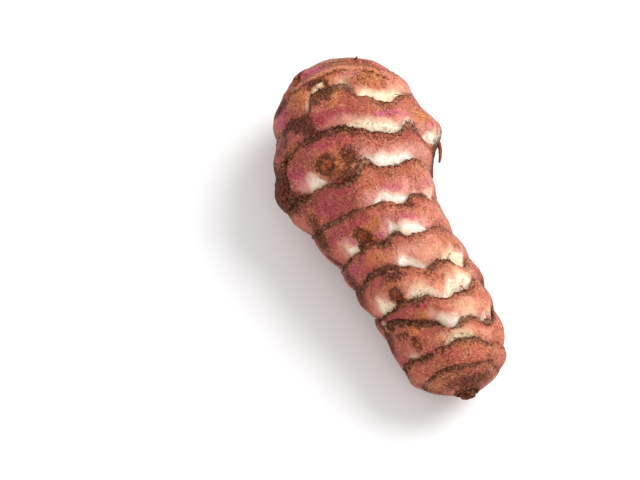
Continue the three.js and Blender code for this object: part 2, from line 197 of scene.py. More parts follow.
# Soft patches of one tone: angle, x, half-angle, half-length, strength.
PATCHES = [
    ("bare", [(-28, 35.6, 3.2, 1.1, 0.9), (-22, 36.9, 3.4, 0.8, 0.9)]),
    ("warm", [(-25, 36.2, 9, 2.5, 0.9)]),
    ("soil", [
        (-25, 38.3, 7, 0.9, 0.95), (-17.5, 36.9, 2.4, 1.6, 0.7), (-32, 36.9, 2.2, 0.9, 0.7),
        (-68, 24, 13, 4, 0.45), (-84, 28, 10, 5, 0.5),
    ]),
    ("red", [(-57, 27, 10, 4, 0.9), (-34, 20, 16, 2, 0.8)]),
    ("soil", [
        (-45, 27, 9, 2.6, 0.9), (-40, 24, 6, 2, 0.8), (-60, 29, 11, 2.2, 0.8), (-64, 37, 13, 2, 0.8),
        (-88, 16, 13, 8, 0.95), (-78, 11, 8, 5, 0.85), (-70, 15, 6, 2.5, 0.7), (-14, 12.6, 8, 2.6, 0.75),
        (-20, 8.6, 14, 1.6, 0.6), (-76, -3, 10, 4.5, 0.8), (-72, 1, 5, 4, 0.6), (-84, -18, 12, 7, 0.6),
        (-30, -22, 12, 1.8, 0.6), (-84, -34, 14, 5, 0.7), (-58, -36.5, 12, 1, 0.7),
        (-44, -39.6, 6, 0.8, 0.9), (44, 20, 6, 2.4, 0.5), (12, 36, 12, 3, 0.35), (22, -3, 8, 1.6, 0.5),
        (10, -43, 40, 2, 0.4), (-12, 4, 14, 2, 0.25),
    ]),
    ("orange", [
        (-42, 37.5, 6, 2.4, 0.95), (-38, 34, 5, 3, 0.8), (-8, 36, 9, 3, 0.8), (-14, 31.5, 4, 2.4, 0.9),
        (-17, 28.8, 4, 1.5, 0.9), (18, 36, 13, 3.6, 0.85), (2, 42.5, 12, 1.6, 0.6),
        (55, 23.5, 8, 3.2, 0.9), (-22, 10.5, 14, 3.6, 0.6), (-2, 8.6, 5, 1, 0.7), (44, 11.6, 8, 0.9, 0.7),
        (-70, -3.8, 6, 1.6, 1), (-18, -7.6, 9, 2.2, 0.6), (-64, -11.7, 8, 1, 1), (-6, 2, 9, 2.6, 0.55),
        (4, -27.2, 5, 1.4, 1), (-36, -24, 13, 1.6, 0.7), (-34, -15.8, 22, 1.6, 0.75),
        (0, -16, 16, 2.4, 0.5), (-20, -33.8, 12, 1.4, 0.9), (20, -33, 14, 2.4, 0.5),
        (-40, -36.4, 18, 1.4, 0.8), (-10, -41, 22, 1.8, 0.6), (50, -41, 20, 1.6, 0.5),
    ]),
    ("magenta", [
        (-27, 43.4, 9, 2, 1), (17, 22.5, 6, 0.9, 1), (30, 23.4, 11, 0.9, 0.75), (-46.5, 9.4, 2.4, 1, 1),
        (12, 2.4, 12, 1.2, 0.6), (10, -6.8, 13, 1.3, 0.6), (-46.5, -9.6, 2.6, 1.8, 1),
        (-22, -9.8, 4, 0.9, 0.7), (41, -17, 4, 1.2, 0.7), (-7, -18.4, 7, 0.8, 0.5),
        (47, -36.4, 4, 1.4, 0.8), (-68, 33.5, 10, 3, 0.6), (-58, 13, 8, 2.2, 0.5), (-4, -27, 3, 0.6, 0.4),
        (-26, -29.3, 4, 0.5, 0.9),
    ]),
    ("red", [
        (-46, 3.6, 24, 4.2, 1), (-38, -4, 16, 3.2, 0.8), (-14, 44, 16, 3, 0.4),
        (-28, 24.5, 20, 4.2, 0.65), (-44, 22.5, 7, 2.2, 0.9), (-70, 24, 12, 4, 0.75),
        (-62, 33, 9, 3, 0.8), (-30, 17.6, 26, 2.4, 0.8), (-60, 14, 10, 4, 0.6), (-62, -6, 14, 3, 0.8),
        (-52, -15.5, 30, 2.6, 0.8), (-52, -22, 20, 1.6, 0.6), (-55, -31, 28, 1.8, 0.9),
        (-24, -31, 14, 1.6, 0.7), (12, -22, 12, 1.4, 0.35),
    ]),
    ("salmon", [
        (42, 35, 14, 5, 0.8), (4, 38.6, 8, 2.4, 0.6), (34, 24.5, 18, 2.6, 0.4), (62, 12, 22, 5, 0.6),
        (30, 13.6, 26, 2.4, 0.5), (50, 3.6, 16, 4, 0.85), (22, 4.4, 18, 2.2, 0.5), (44, -5.5, 20, 4, 0.6),
        (14, -5, 20, 2, 0.4), (18, -16, 24, 4, 0.9),
    ]),
    ("blush", [(-6, -16.5, 14, 2.4, 0.7)]),
    ("salmon", [
        (56, -16, 16, 5, 0.4), (10, -24.5, 26, 3.2, 0.3), (54, -26, 16, 5, 0.4),
        (30, -32.5, 30, 3.4, 0.4),
    ]),
    ("warm", [(30, -23.5, 26, 3.4, 0.9)]),
    ("blush", [(34, -23, 22, 2.8, 0.6)]),
    ("salmon", [(20, -42, 34, 2.6, 0.3)]),
    ("orange", [
        (24, -23.4, 30, 3, 0.55), (46, -33, 24, 3.4, 0.55), (14, -43.6, 44, 2.6, 0.6),
        (44, -15.4, 22, 2.6, 0.5),
    ]),
    ("red", [(-64, -26, 12, 2.6, 0.7), (-20, -44.5, 30, 1.8, 0.6)]),
    ("magenta", [(20, 50.6, 60, 1.6, 0.7)]),
    ("red", [(110, 49, 60, 3, 0.7)]),
    ("orange", [(200, 48.5, 40, 2.5, 0.7)]),
    ("soil", [(66, 49.6, 26, 1.6, 0.5), (236, 46, 18, 3, 0.55)]),
    ("blush", [(-70, 50.2, 44, 1.6, 0.6)]),
    ("soil", [(30, -51.6, 60, 1.2, 0.55), (190, -52.2, 80, 1, 0.6)]),
    ("orange", [(110, -50.4, 40, 1.8, 0.6)]),
    # Partly painted shadow: these crimson and soil patches, and their far copies, darken the lower left flank
    # as if a neighbouring tuber shaded it, over its own darker crimson and soiled skin.
    ("red", [(-92, -4, 12, 6, 0.8)]),
    ("soil", [(-97, -1, 8, 5, 0.5)]),
    ("red", [(-92, -18, 12, 5, 0.8)]),
    ("soil", [(-98, -25, 8, 5, 0.5)]),
    ("red", [(-86, -40, 12, 5, 0.6)]),
    ("soil", [(-88, -9, 7, 3, 0.6)]),
    ("orange", [(-18, 40.3, 15, 0.6, 0.9), (14, 40.2, 18, 0.6, 0.9)]),
    ("magenta", [(4, 38, 9, 0.7, 0.6)]),
    ("warm", [(-3, 35.4, 12, 2.6, 0.9)]),
    ("blush", [(-4, 36, 8, 2, 0.8)]),
    ("orange", [(30, 37.6, 14, 0.6, 0.7)]),
    ("warm", [(22, -18, 26, 3.4, 0.9)]),
    ("blush", [(18, -17.8, 20, 2.6, 0.7)]),
    ("warm", [(26, -33.4, 26, 3.6, 1)]),
    ("blush", [(26, -33.2, 22, 3, 0.85)]),
    ("warm", [(-16, -25.4, 18, 2.2, 0.9)]),
    ("blush", [(-14, -25.6, 14, 1.8, 0.7)]),
    ("warm", [(8, -41.8, 42, 2.8, 0.9)]),
    ("blush", [(12, -41.6, 36, 2, 0.6)]),
    ("salmon", [(-52, -8.2, 9, 1.6, 0.8), (-60, -25, 13, 1.8, 0.6), (70, 30, 12, 8, 0.4)]),
]
TONES = (
    "bare", "warm", "blush", "fringe", "grey", "rim", "soil", "orange", "magenta", "red", "salmon", "brown",
)
EYE_REACH = 9.0  # how far from an eye's middle its rings are drawn
CRESCENT_END = 0.06  # the share of a crescent's width over which each end fades
# Where a tone starts and ends to fade, as shares of a crescent's height or of a fringe's depth.
BARE_FADE, WARM_FADE, BLUSH_FADE, FRINGE_FADE = (0.3, 1.4), (0.8, 1.6), (0.4, 2.2), (0.05, 1.45)
BLUSH_MOST = 6.5  # how far above an edge a blush may go
# How a mark's copy on the far side is turned and resized, between these.
FAR_TURN = (172, 188)
FAR_SIZE = (0.8, 1.15)
BARE_SEED, FRINGE_SEED, PATCH_SEED = 61, 62, 63

# ---- fine relief and small pieces ------------------------

# Small lumps of the skin: height, size, seed.
SMALL_LUMPS = [(0.28, 5.0, 1), (0.15, 2.1, 2), (0.085, 0.95, 3)]
# Wrinkles, drawn out round the tuber, and the patches that they gather in.
WRINKLE_STRETCH = np.array([1.0, 0.16, 0.16])
WRINKLE_HEIGHT, WRINKLE_SIZE, WRINKLE_SEED = 0.16, 1.3, 4
WRINKLED_SIZE, WRINKLED_SEED = 9.0, 5
# Round an eye of size 1: its crater, the collar round it, and a crease on the side towards the stolon end.
CRATER_DEPTH, CRATER_CORKY_DEPTH, CRATER_RADIUS = 0.45, 0.5, 1.3
COLLAR_HEIGHT, COLLAR_RADIUS, COLLAR_WIDTH = 0.3, 2.3, 0.7
CREASE_DEPTH, CREASE_RADIUS, CREASE_WIDTH = 0.5, 4.6, 0.8
# Noise round the tuber: height, knots to a turn, and a seed, to which a ring's number may be added. It
# moves an edge's tears, a roll's bulge and crown, a crescent's height, a fringe's depth, a rim's reach,
# and a fold's line and height.
TEARS = [(0.3, 34, 100), (0.26, 97, 200), (0.2, 231, 300)]
BULGE_SWING = (0.3, 13, 400)
CROWN_SWING = (0.6, 9, 450)
CRESCENT_SWING = (0.16, 60, 600)
DEPTH_SWINGS = [(0.45, 90, 700), (0.3, 29, 720)]
RIM_SWING = (1.6, 17, 800)
FOLD_WANDER = (0.25, 40, 950)
FOLD_SWING = (0.5, 26, 951)
TEAR_MIDDLE = 0.22  # how far past its smooth line a torn edge lies on the whole
RIM_REACH = 3.2  # how far below an edge its rougher rim goes on the whole
RIB_HEIGHT, RIB_POWER, RIB_KNOTS, RIB_SEED = 0.1, 5, 300, 500
CROWN_LEAN = 1.3  # above 1, a roll is fullest nearer the next ring
# At a ring: how much the lip is let down at its rim, and how far from the edge the rows lie that are the
# middle of the step, the groove at its foot, and the foot of the next roll.
LIP_DROP, STEP_GAP, GROOVE_GAP, FOOT_GAP = 0.1, 0.12, 0.3, 0.15
NO_EDGE = 99.0  # stands for the distance to a ring's edge where there is none

# Splits in the skin: angle and x from one end to the other, depth, half-width.
SPLITS = [
    (-64, 18.8, -67, 15.6, 1.2, 0.5),
    (-67, 15.6, -73, 12.3, 1.4, 0.55),
    (-76, 13.0, -83, 8.8, 1.1, 0.5),
    (-38, 46.6, -42, 42.4, 0.8, 0.45),
    (-97, 20, -104, 14.5, 0.8, 0.45),
    (116, 22.5, 122, 17.5, 0.6, 0.4),
]

# Folds running round the skin, raised with a crease below: places as (angle, x), height.
FOLDS = [
    ([(-62, 40.6), (-45, 39.4), (-24, 40.3), (-8, 41.0), (8, 40.6), (23, 38.8), (38, 34.6)], 0.36),
    ([(118, 40.0), (136, 39.2), (160, 40.2), (176, 40.8), (198, 38.9), (212, 36.0)], 0.32),
    ([(-68, 21.2), (-56, 22.6), (-40, 23.6), (-22, 22.6), (-6, 21.4)], 0.25),
]

# Broken roots: angle, x, length, thickness, lean towards the tip, droop along the skin.
ROOTS = [
    (18, 44.6, 1.6, 1.0, 10, 0.2),
    (83, 19.6, 5.8, 1.3, -79, -0.55),
    (-122, 33.0, 3.0, 0.9, 25, 0.5),
    (122, 27.0, 3.0, 0.9, 40, -0.4),
    (118, -1.0, 3.5, 1.0, 20, 0.6),
    (-142, -8.0, 3.0, 0.9, -20, -0.5),
    (116, -26.5, 3.0, 0.9, 30, 0.4),
    (-138, -33.0, 3.0, 0.9, -15, 0.5),
]
ROOT_SUNK, ROOT_STEPS, ROOT_SIDES, ROOT_PALE = 1.5, 14, 10, 0.25
ROOT_KINKS = [(0.12, 1.1, 0)]  # in millimetres
ROOT_SWELLS = [(0.2, 0.5, 1)]  # as a share of its thickness

# Loose fibres lying on the skin: angle and x at each end, thickness, paleness.
FIBRES = [
    (22, -33.0, 56, -25.6, 0.55, 0.9),
    (28, -32.8, 54, -26.8, 0.3, 0.8),
    (-78, -30.5, -70, -34.0, 0.7, 1.0),
    (-33, -13.2, -26, -10.5, 0.22, 0.2),
    (-20, 6.8, -9, 9.4, 0.25, 0.3),
    (38, 19.6, 52, 17.4, 0.25, 0.3),
    (-30, 30.2, -16, 33.8, 0.25, 0.4),
]
FIBRE_SEED, FIBRE_STEPS, FIBRE_SIDES = 17, 22, 6
FIBRE_WAVES = [(1.2, 7, 0), (0.4, 9, 1)]  # in degrees, and in millimetres along the tuber

# Scales over the tip bud: angle, how far out they start as a share of the end, half-angle.
TIP_SCALES = [(45, 1.02, 44), (225, 1.0, 44), (135, 0.8, 48), (-45, 0.78, 48), (20, 0.5, 60), (200, 0.48, 60)]
TIP_SCALE_ROWS, TIP_SCALE_COLUMNS, TIP_SCALE_THICKNESS = 15, 31, 0.35
TIP_SCALE_WANDER = (2.0, 9, 0)

# A bud, as shares of its size: the height of its dome, of the fold across it and of its outer collar, how
# far its middle leans to the tip, and how deep its foot is, in fresh and in corky eyes.
BUD_RINGS, BUD_SIDES = 16, 36
BUD_DOME, BUD_FOLD, BUD_COLLAR, BUD_LEAN = 0.95, 0.5, 0.22, 0.25
BUD_SUNK, BUD_CORKY_SUNK, BUD_FOOT_DROP = 0.25, 0.5, 0.45
FOLD_WIDTH, COLLAR_AT, BUD_COLLAR_WIDTH = 0.16, 0.72, 0.12
BUD_WOBBLE = (0.12, 7, 0)

# Scale remains: rows and columns of their sheets, how deep a fringe has to be to have one, and how deep
# one goes at most.
REMAIN_ROWS, REMAIN_COLUMNS_PER_DEGREE, REMAIN_LEAST_COLUMNS = 8, 3.5, 24
REMAIN_LEAST_DEPTH, REMAIN_MOST_DEPTH = 0.8, 2.4
# Their teeth, the ragged line where they leave the skin, their crumpling, and the crumbs on them.
FINE_TEETH, BROAD_TEETH = (1, 380, 1), (1, 90, 2)
LOW_TEETH = [(0.4, 110, 3), (0.3, 300, 4)]
CRUMPLES = [(0.1, 420, 5), (0.12, 90, 6)]
REMAIN_CRUMBS = [(0.12, 0.6, 7)]
TOOTH_LENGTH, REMAIN_LEAST_LENGTH = 0.8, 0.05
# How far below the torn edge one leaves the skin, besides a share of the fringe's depth.
REMAIN_START, REMAIN_START_SHARE = 0.3, 0.5
# How deep in the skin it starts, and its ends lie, and how far its under side is drawn in.
REMAIN_SUNK, REMAIN_END_SUNK, REMAIN_UNDERCUT = 0.1, 0.16, 0.05

END_CRUMBS = [(1, 0.9, 40), (1, 2.0, 41)]  # on the stolon scar and the tip bud
END_SWING, END_KNOTS, END_SEED = 0.4, 9, 42

# The first of the seeds that are added to the ones above, where there are several of a thing.
ROOT_SEED, PLACED_FIBRE_SEED, BUD_SEED, TIP_SCALE_SEED = 20, 40, 70, 90
STRAY_FIBRE_SEED, REMAIN_SEED = 300, 1000

TUBE_HELPER = np.array([0.31, 0.52, 0.79])  # a direction that no root or fibre runs along

# Rows and columns of the skin's grid.
COLUMNS = 380
ROWS_PER_MM = 1.72
LEAST_ROWS = 9
END_ROWS = 12
CLOSING_ROWS = 16

# ---- formulas --------------------------------------------


def between(low, high, value):
    """0 below low, 1 above high, and 3t^2 - 2t^3 from one to the other."""
    t = np.clip((value - low) / (high - low), 0, 1)
    return t * t * (3 - 2 * t)


def bump(offset, width, power=2):
    """exp(-|offset / width|^power)."""
    return np.exp(-np.abs(offset / width) ** power)


def turn_from(start, angle):
    """The angle from start round to angle, -180 to 180."""
    return (angle - start + 180) % 360 - 180


def around(angle, knots, seed):
    """Random heights at even knots round the tuber, joined by 3t^2 - 2t^3; -1 to 1."""
    heights = np.random.default_rng(seed).uniform(-1, 1, knots)
    place = (angle % 360) / 360 * knots
    low = np.floor(place).astype(int)
    t = place - low
    t = t * t * (3 - 2 * t)
    return heights[low % knots] * (1 - t) + heights[(low + 1) % knots] * t


def lattice_noise(points, size, seed):
    """Random values at the corners of cubes `size` wide, joined by 3t^2 - 2t^3 along each axis; -1 to 1."""
    side = 32
    values = np.random.default_rng(seed).uniform(-1, 1, (side, side, side))
    place = points / size
    low = np.floor(place).astype(int)
    t = place - low
    t = t * t * (3 - 2 * t)
    total = 0
    for corner in np.ndindex(2, 2, 2):
        cell = (low + corner) % side
        share = np.prod(np.where(corner, t, 1 - t), axis=-1)
        total = total + share * values[cell[..., 0], cell[..., 1], cell[..., 2]]
    return total


def section_at(x):
    """The Catmull-Rom curve through SECTIONS at x: middle y and z, half width, reach up and down."""
    steps = len(SECTIONS) - 1
    place = np.clip((x - FIRST_SECTION) / SECTION_STEP, 0, steps)
    low = np.minimum(place.astype(int), steps - 1)
    t = (place - low)[..., None]
    rows = np.vstack([2 * SECTIONS[0] - SECTIONS[1], SECTIONS, 2 * SECTIONS[-1] - SECTIONS[-2]])
    a, b, c, d = rows[low], rows[low + 1], rows[low + 2], rows[low + 3]
    return 0.5 * (2 * b + (c - a) * t + (2 * a - 5 * b + 4 * c - d) * t**2 + (3 * b - a - 3 * c + d) * t**3)


def cap_share(x):
    """How much of its full section the tuber has at x: sqrt(1 - s^2.6) over each end."""
    tail = CAP_REACH * np.clip((TAIL_END + TAIL_CAP - x) / TAIL_CAP, 0, 1)
    tip = CAP_REACH * np.clip((x - TIP_END + TIP_CAP) / TIP_CAP, 0, 1)
    return np.sqrt(1 - tail**CAP_POWER) * np.sqrt(1 - tip**CAP_POWER)


def ring_edge(ring, angle):
    """x of a ring's edge: its place plus each lobe's bump, near and far."""
    at, _, _, lobes = RINGS[ring]
    x = np.full(np.shape(angle), float(at))
    for middle, rise, width, power in lobes:
        x = x + rise * bump(turn_from(middle, angle), width, power)
        x = x + FAR_SIDE_RISE * rise * bump(turn_from(middle + 180, angle), width, power)
    return x


def swing(angle, kind, more=0):
    """Noise round the tuber: height * around(angle), with `more` added to the kind's seed."""
    height, knots, seed = kind
    return height * around(angle, knots, seed + more)


def rough(points, kinds, more=0):
    """Noise through space, several kinds of it added up: the sum of height * lattice_noise(points)."""
    return sum(height * lattice_noise(points, size, seed + more) for height, size, seed in kinds)


def ragged(ring, angle):
    """How far a ring's torn edge is past its smooth one: three sizes of noise round the tuber, added up."""
    return sum((swing(angle, tear, ring) for tear in TEARS), TEAR_MIDDLE)


def eye_offsets(x, angle, radius):
    """For each eye: its size, its brownness, and how far a point is across and along from its middle."""
    for at, start, size, brown in EYES:
        yield size, brown, np.radians(turn_from(at, angle)) * radius, x - start


def skin_point(x, angle, relief):
    """The skin at (x, angle), with relief added to an elliptical section with its swellings and lumps."""
    section = section_at(x)
    y, z, half_width, up, down = (section[..., i] for i in range(5))
    sideways, upwards = np.sin(np.radians(angle)), np.cos(np.radians(angle))
    reach = np.where(upwards > 0, up, down)
    radius = 1 / np.hypot(sideways / half_width, upwards / reach)
    for at, start, half_angle, half_length, height in SWELLINGS:
        radius = radius + height * bump(turn_from(at, angle), half_angle) * bump(x - start, half_length)
    for size, _, across, along in eye_offsets(x, angle, radius):
        radius = radius + EYE_RISE * size * bump(np.hypot(across, along), EYE_RADIUS * size)
    lumps = sum(
        height * np.sin(np.radians(turns * angle + shift) + 2 * math.pi * x / length)
        for height, turns, length, shift in LUMPS
    )
    radius = (radius + relief + lumps) * cap_share(x)
    return np.stack([x, y - sideways * radius, z + upwards * radius], axis=-1)


def roll_relief(ring, phase):
    """Relief across the roll from a ring to the next: groove at its foot, bulge, lip at its rim."""
    _, step, bulge, _ = RINGS[ring]
    next_step = RINGS[ring + 1][1]
    groove = (1 - LIP_SHARE) * step * (1 - phase) ** GROOVE_POWER
    lip = LIP_SHARE * next_step * phase**LIP_POWER
    return bulge * 4 * phase * (1 - phase) + lip - groove


def splits_near(x, angle):
    """For each split: how far a point is from its line, its depth and its half-width."""
    radius = EYE_TURN_RADIUS
    for angle_a, x_a, angle_b, x_b, depth, half_width in SPLITS:
        to_b = np.array([math.radians(angle_b - angle_a) * radius, x_b - x_a])
        across = np.radians(turn_from(angle_a, angle)) * radius
        along = x - x_a
        share = np.clip((across * to_b[0] + along * to_b[1]) / to_b.dot(to_b), 0, 1)
        yield np.hypot(across - share * to_b[0], along - share * to_b[1]), depth, half_width


def folds_near(x, angle):
    """For each fold: how far a point is beyond its line, and its height there, which dies out at its ends."""
    for places, height in FOLDS:
        angles, xs = np.transpose(places)
        middle, half = (angles[0] + angles[-1]) / 2, (angles[-1] - angles[0]) / 2
        off = turn_from(middle, angle)
        line = np.interp(off, angles - middle, xs) + swing(angle, FOLD_WANDER)
        yield x - line, height * bump(off, half, 6) * (1 + swing(angle, FOLD_SWING))


def fine_relief(x, angle):
    """What the solid is too coarse for: small lumps, wrinkles, eyes' craters, folds and splits.

    Each lump, wrinkle and ring of an eye is noise or a bump times its height. A fold is a ridge with a
    crease below it, and a split is a cut with a raised rim."""
    smooth = skin_point(x, angle, 0)
    wrinkled = between(-0.3, 0.5, lattice_noise(smooth, WRINKLED_SIZE, WRINKLED_SEED))
    wrinkles = lattice_noise(smooth * WRINKLE_STRETCH, WRINKLE_SIZE, WRINKLE_SEED) * wrinkled
    relief = rough(smooth, SMALL_LUMPS) + WRINKLE_HEIGHT * wrinkles
    for size, brown, across, along in eye_offsets(x, angle, EYE_TURN_RADIUS):
        rho = np.hypot(across, along) / size
        outer_side = np.clip((-along - 0.8 * across) / (rho * size + 1e-6), 0, 1)
        depth = CRATER_DEPTH + CRATER_CORKY_DEPTH * brown
        relief = relief - size * depth * bump(rho, CRATER_RADIUS)
        relief = relief + size * COLLAR_HEIGHT * bump(rho - COLLAR_RADIUS, COLLAR_WIDTH)
        relief = relief - size * CREASE_DEPTH * outer_side * bump(rho - CREASE_RADIUS, CREASE_WIDTH)
    for beyond, height in folds_near(x, angle):
        relief = relief + height * (bump(beyond - 0.3, 1.0) - 0.9 * bump(beyond + 0.9, 0.6))
    for gap, depth, half_width in splits_near(x, angle):
        rim = bump(gap - 2.2 * half_width, half_width)
        relief = relief - depth * bump(gap, half_width) + 0.3 * depth * rim
    return relief


def skin_rows():
    """Rows of x, relief, distance above the last edge and distance below the next, with each row's ring.

    They go from the stolon end to the tip: over the end, then at each ring the lip, the step and the
    groove, and along the roll after it, closer together at the rings, and over the other end."""
    angle = np.linspace(-180, 180, COLUMNS, endpoint=False)
    level = np.ones(COLUMNS)
    far = NO_EDGE * level
    rows = []

    def add(ring, x, relief, above, below):
        rows.append((ring, x, relief, above, below))

    first_edge = ring_edge(0, angle)
    for share in np.sin(np.linspace(math.pi / 2, 0, END_ROWS)):
        x = first_edge + (TAIL_END - first_edge) * share
        add(-1, x, LIP_SHARE * RINGS[0][1] * (1 - share) * level, far, first_edge - x)
    for ring in range(len(RINGS)):
        edge = ring_edge(ring, angle)
        torn = ragged(ring, angle)
        lip = LIP_SHARE * RINGS[ring][1]
        groove = (LIP_SHARE - 1) * RINGS[ring][1]
        add(ring - 1, edge + torn, (lip - LIP_DROP) * level, far, -torn)
        add(ring - 1, edge + torn - STEP_GAP, (0.5 * lip + 0.5 * groove) * level, far, STEP_GAP - torn)
        add(ring, edge - GROOVE_GAP, groove * level, 0 * level, far)
        if ring == len(RINGS) - 1:
            continue
        foot, rim = edge + FOOT_GAP, ring_edge(ring + 1, angle)
        count = max(LEAST_ROWS, round(ROWS_PER_MM * (RINGS[ring + 1][0] - RINGS[ring][0])))
        t = np.linspace(0, 1, count)
        bulge_swing = 1 + swing(angle, BULGE_SWING, ring)
        crown_swing = CROWN * (1 + swing(angle, CROWN_SWING, ring))
        for phase in t - 0.1 * np.sin(2 * math.pi * t):
            x = foot + (rim - foot) * phase
            ribs = RIB_HEIGHT * phase**RIB_POWER * around(angle, RIB_KNOTS, RIB_SEED + ring)
            crown = crown_swing * math.sin(math.pi * phase**CROWN_LEAN) ** 2
            relief = roll_relief(ring, phase) * bulge_swing + ribs + crown
            add(ring, x, relief, x - edge, rim - x)
    last_edge = ring_edge(len(RINGS) - 1, angle) + FOOT_GAP
    for share in np.sin(np.linspace(0, math.pi / 2, END_ROWS)):
        x = last_edge + (TIP_END - last_edge) * share
        add(len(RINGS) - 1, x, (LIP_SHARE - 1) * RINGS[-1][1] * (1 - share) * level, x - last_edge, far)
    ring = np.array([row[0] for row in rows])
    x, relief, above, below = (np.array([row[i] for row in rows]) for i in range(1, 5))
    return np.broadcast_to(angle, x.shape), ring[:, None], x, relief, above, below


def closing_points(profile, end, way, drop, angle):
    """Rows that close an end: the section at `end` drawn in towards the pole by the profile."""
    shares = np.linspace(0, len(profile) - 1, CLOSING_ROWS + 1)[1:-1]
    share = np.interp(shares, range(len(profile)), profile[:, 0])[:, None, None]
    past = np.interp(shares, range(len(profile)), profile[:, 1])[:, None]
    section = section_at(np.array(end))
    pole = np.array([end + way * profile[-1, 1], section[0], section[1] - drop])
    edge = skin_point(np.full(angle.shape, end), angle, fine_relief(np.full(angle.shape, end), angle))
    swings = around(angle, END_KNOTS, END_SEED)[None, :, None]
    uneven = 1 + END_SWING * (1 - share) * share**0.5 * swings
    points = pole + (edge[None] - pole) * share * uneven
    crumbs = 0.2 * rough(points, END_CRUMBS)
    points[..., 0] = end + way * (past + crumbs * (1 - between(0.8, 1.0, share[..., 0])))
    return points, pole


def twin_marks(marks, angles_at, sizes_at, seed):
    """The marks with each one's copy on the far side of the tuber, a little turned and resized."""
    rng = np.random.default_rng(seed)
    twins = list(marks)
    for mark in marks:
        twin = list(mark)
        turn = rng.uniform(*FAR_TURN)
        for i in angles_at:
            twin[i] = mark[i] + turn
        for i in sizes_at:
            twin[i] = mark[i] * rng.uniform(*FAR_SIZE)
        twins.append(tuple(twin))
    return twins


def share_between(start, finish, angle):
    """How far an angle is from start, 0, to finish, 1."""
    middle, half = (start + finish) / 2, (finish - start) / 2
    return 0.5 + turn_from(middle, angle) / (2 * half)


def crescents(angle):
    """For each crescent: its ring, the share across it, its height there and at most, warmth and strength.

    The height is 4u(1 - u) to the power 1.1, where u is the share of its width to the power of its lean."""
    marks = twin_marks(BARE, (1, 2), (3,), BARE_SEED)
    for ring, start, finish, height, lean, warmth, strength in marks:
        share = share_between(start, finish, angle)
        u = np.clip(share, 0, 1) ** lean
        top = height * (1 + swing(angle, CRESCENT_SWING, ring)) * (4 * u * (1 - u)) ** 1.1 + 1e-3
        yield ring, share, top, height, warmth, strength


def hollows(angle, ring, above):
    """How far the skin sinks at a crescent, 0 to 1: exp(-(height above the edge / 0.6 of its own)^2)."""
    deepest = np.zeros(above.shape)
    for at_ring, share, _, height, _, strength in crescents(angle):
        here = (ring == at_ring) * strength * bump(share - 0.5, 0.5, 4)
        deepest = np.maximum(deepest, here * bump(above, 0.6 * height))
    return deepest


def faded(reach, size, away, most=math.inf):
    """1 up to the first reach * size away, and 0 from the second on, or from `most` on."""
    return 1 - between(reach[0] * size, np.minimum(reach[1] * size, most), away)


def tone_masks(angle, ring, x, above, below):
    """A mask from 0 to 1 for each tone, from the tables of crescents, fringes, patches, splits and eyes.

    A crescent is palest at its ring's edge and fades up to its height, and a blush goes on above it."""
    masks = {name: np.zeros(x.shape) for name in TONES}

    def lay(name, mask):
        masks[name] = np.maximum(masks[name], mask)

    for at_ring, share, top, height, warmth, strength in crescents(angle):
        here = (ring == at_ring) * strength
        ends = between(0, CRESCENT_END, share) * between(0, CRESCENT_END, 1 - share)
        lay("bare", here * ends * faded(BARE_FADE, top, above))
        wide = bump(share - 0.5, 0.62, 3) * here
        lay("blush", wide * faded(BLUSH_FADE, height, above, BLUSH_MOST))
        lay("warm", warmth * wide * faded(WARM_FADE, height, above))
    for at_ring, start, finish, depth, strength, greyness in twin_marks(FRINGES, (1, 2), (3,), FRINGE_SEED):
        here = (ring == at_ring - 1) * bump(share_between(start, finish, angle) - 0.5, 0.54, 8) * strength
        deep = depth * sum((swing(angle, kind, at_ring) for kind in DEPTH_SWINGS), 1)
        dark = here * faded(FRINGE_FADE, deep, below)
        lay("fringe", dark)
        lay("grey", greyness * (dark > 0.02) * here)
    for at_ring in range(len(RINGS)):
        reach = RIM_REACH + swing(angle, RIM_SWING, at_ring)
        lay("rim", np.where(ring == at_ring - 1, 1 - between(0, reach, below), 0))
    patches = [(name, *patch) for name, patches in PATCHES for patch in patches]
    for name, at, start, half_angle, half_length, strength in twin_marks(patches, (1,), (3, 4), PATCH_SEED):
        off = np.hypot(turn_from(at, angle) / half_angle, (x - start) / half_length)
        lay(name, strength * bump(off, 1.15, 2.4))
    for gap, _, half_width in splits_near(x, angle):
        lay("fringe", 0.95 * bump(gap, 0.9 * half_width))
    # Painted shade: a dark soil-toned line laid in each fold's crease below its ridge. Painted highlight: a
    # pale warm blush laid along the ridge.
    for beyond, height in folds_near(x, angle):
        lay("soil", 1.5 * height * bump(beyond + 0.9, 0.45))
        lay("warm", 1.5 * height * bump(beyond - 0.2, 0.7))
        lay("blush", 1.2 * height * bump(beyond - 0.2, 0.7))
    near_eye = np.ones(x.shape)
    for size, brown, across, along in eye_offsets(x, angle, EYE_TURN_RADIUS):
        rho = np.hypot(across, along) / size
        near_eye = np.minimum(near_eye, rho / EYE_REACH)
        lay("brown", brown * bump(rho, 3.0, 3))
        lay("magenta", 0.6 * (1 - brown) * bump(rho, 2.6, 3))
    masks["eye"] = near_eye
    return masks


# ---- meshes ----------------------------------------------


def grid_quads(rows, columns, close_rows=False, close_columns=False):
    """Quads of a rows x columns grid; x rises along rows and the angle along columns, so they face out."""
    i = np.arange(rows if close_rows else rows - 1)[:, None]
    j = np.arange(columns if close_columns else columns - 1)[None, :]
    next_i, next_j = (i + 1) % rows, (j + 1) % columns
    corners = [i * columns + j, i * columns + next_j, next_i * columns + next_j, next_i * columns + j]
    return np.stack([np.broadcast_to(c, (i.size, j.size)).ravel() for c in corners], axis=-1)


def to_frame(points):
    """From the tuber's axis to the frame, in metres, with nothing below the surface that it lies on."""
    placed = points + SHIFT
    placed[..., 2] = np.maximum(placed[..., 2], 0)
    return placed * MM


def new_object(name, data):
    """An object with the data, linked to the scene."""
    made = bpy.data.objects.new(name, data)
    bpy.context.scene.collection.objects.link(made)
    return made


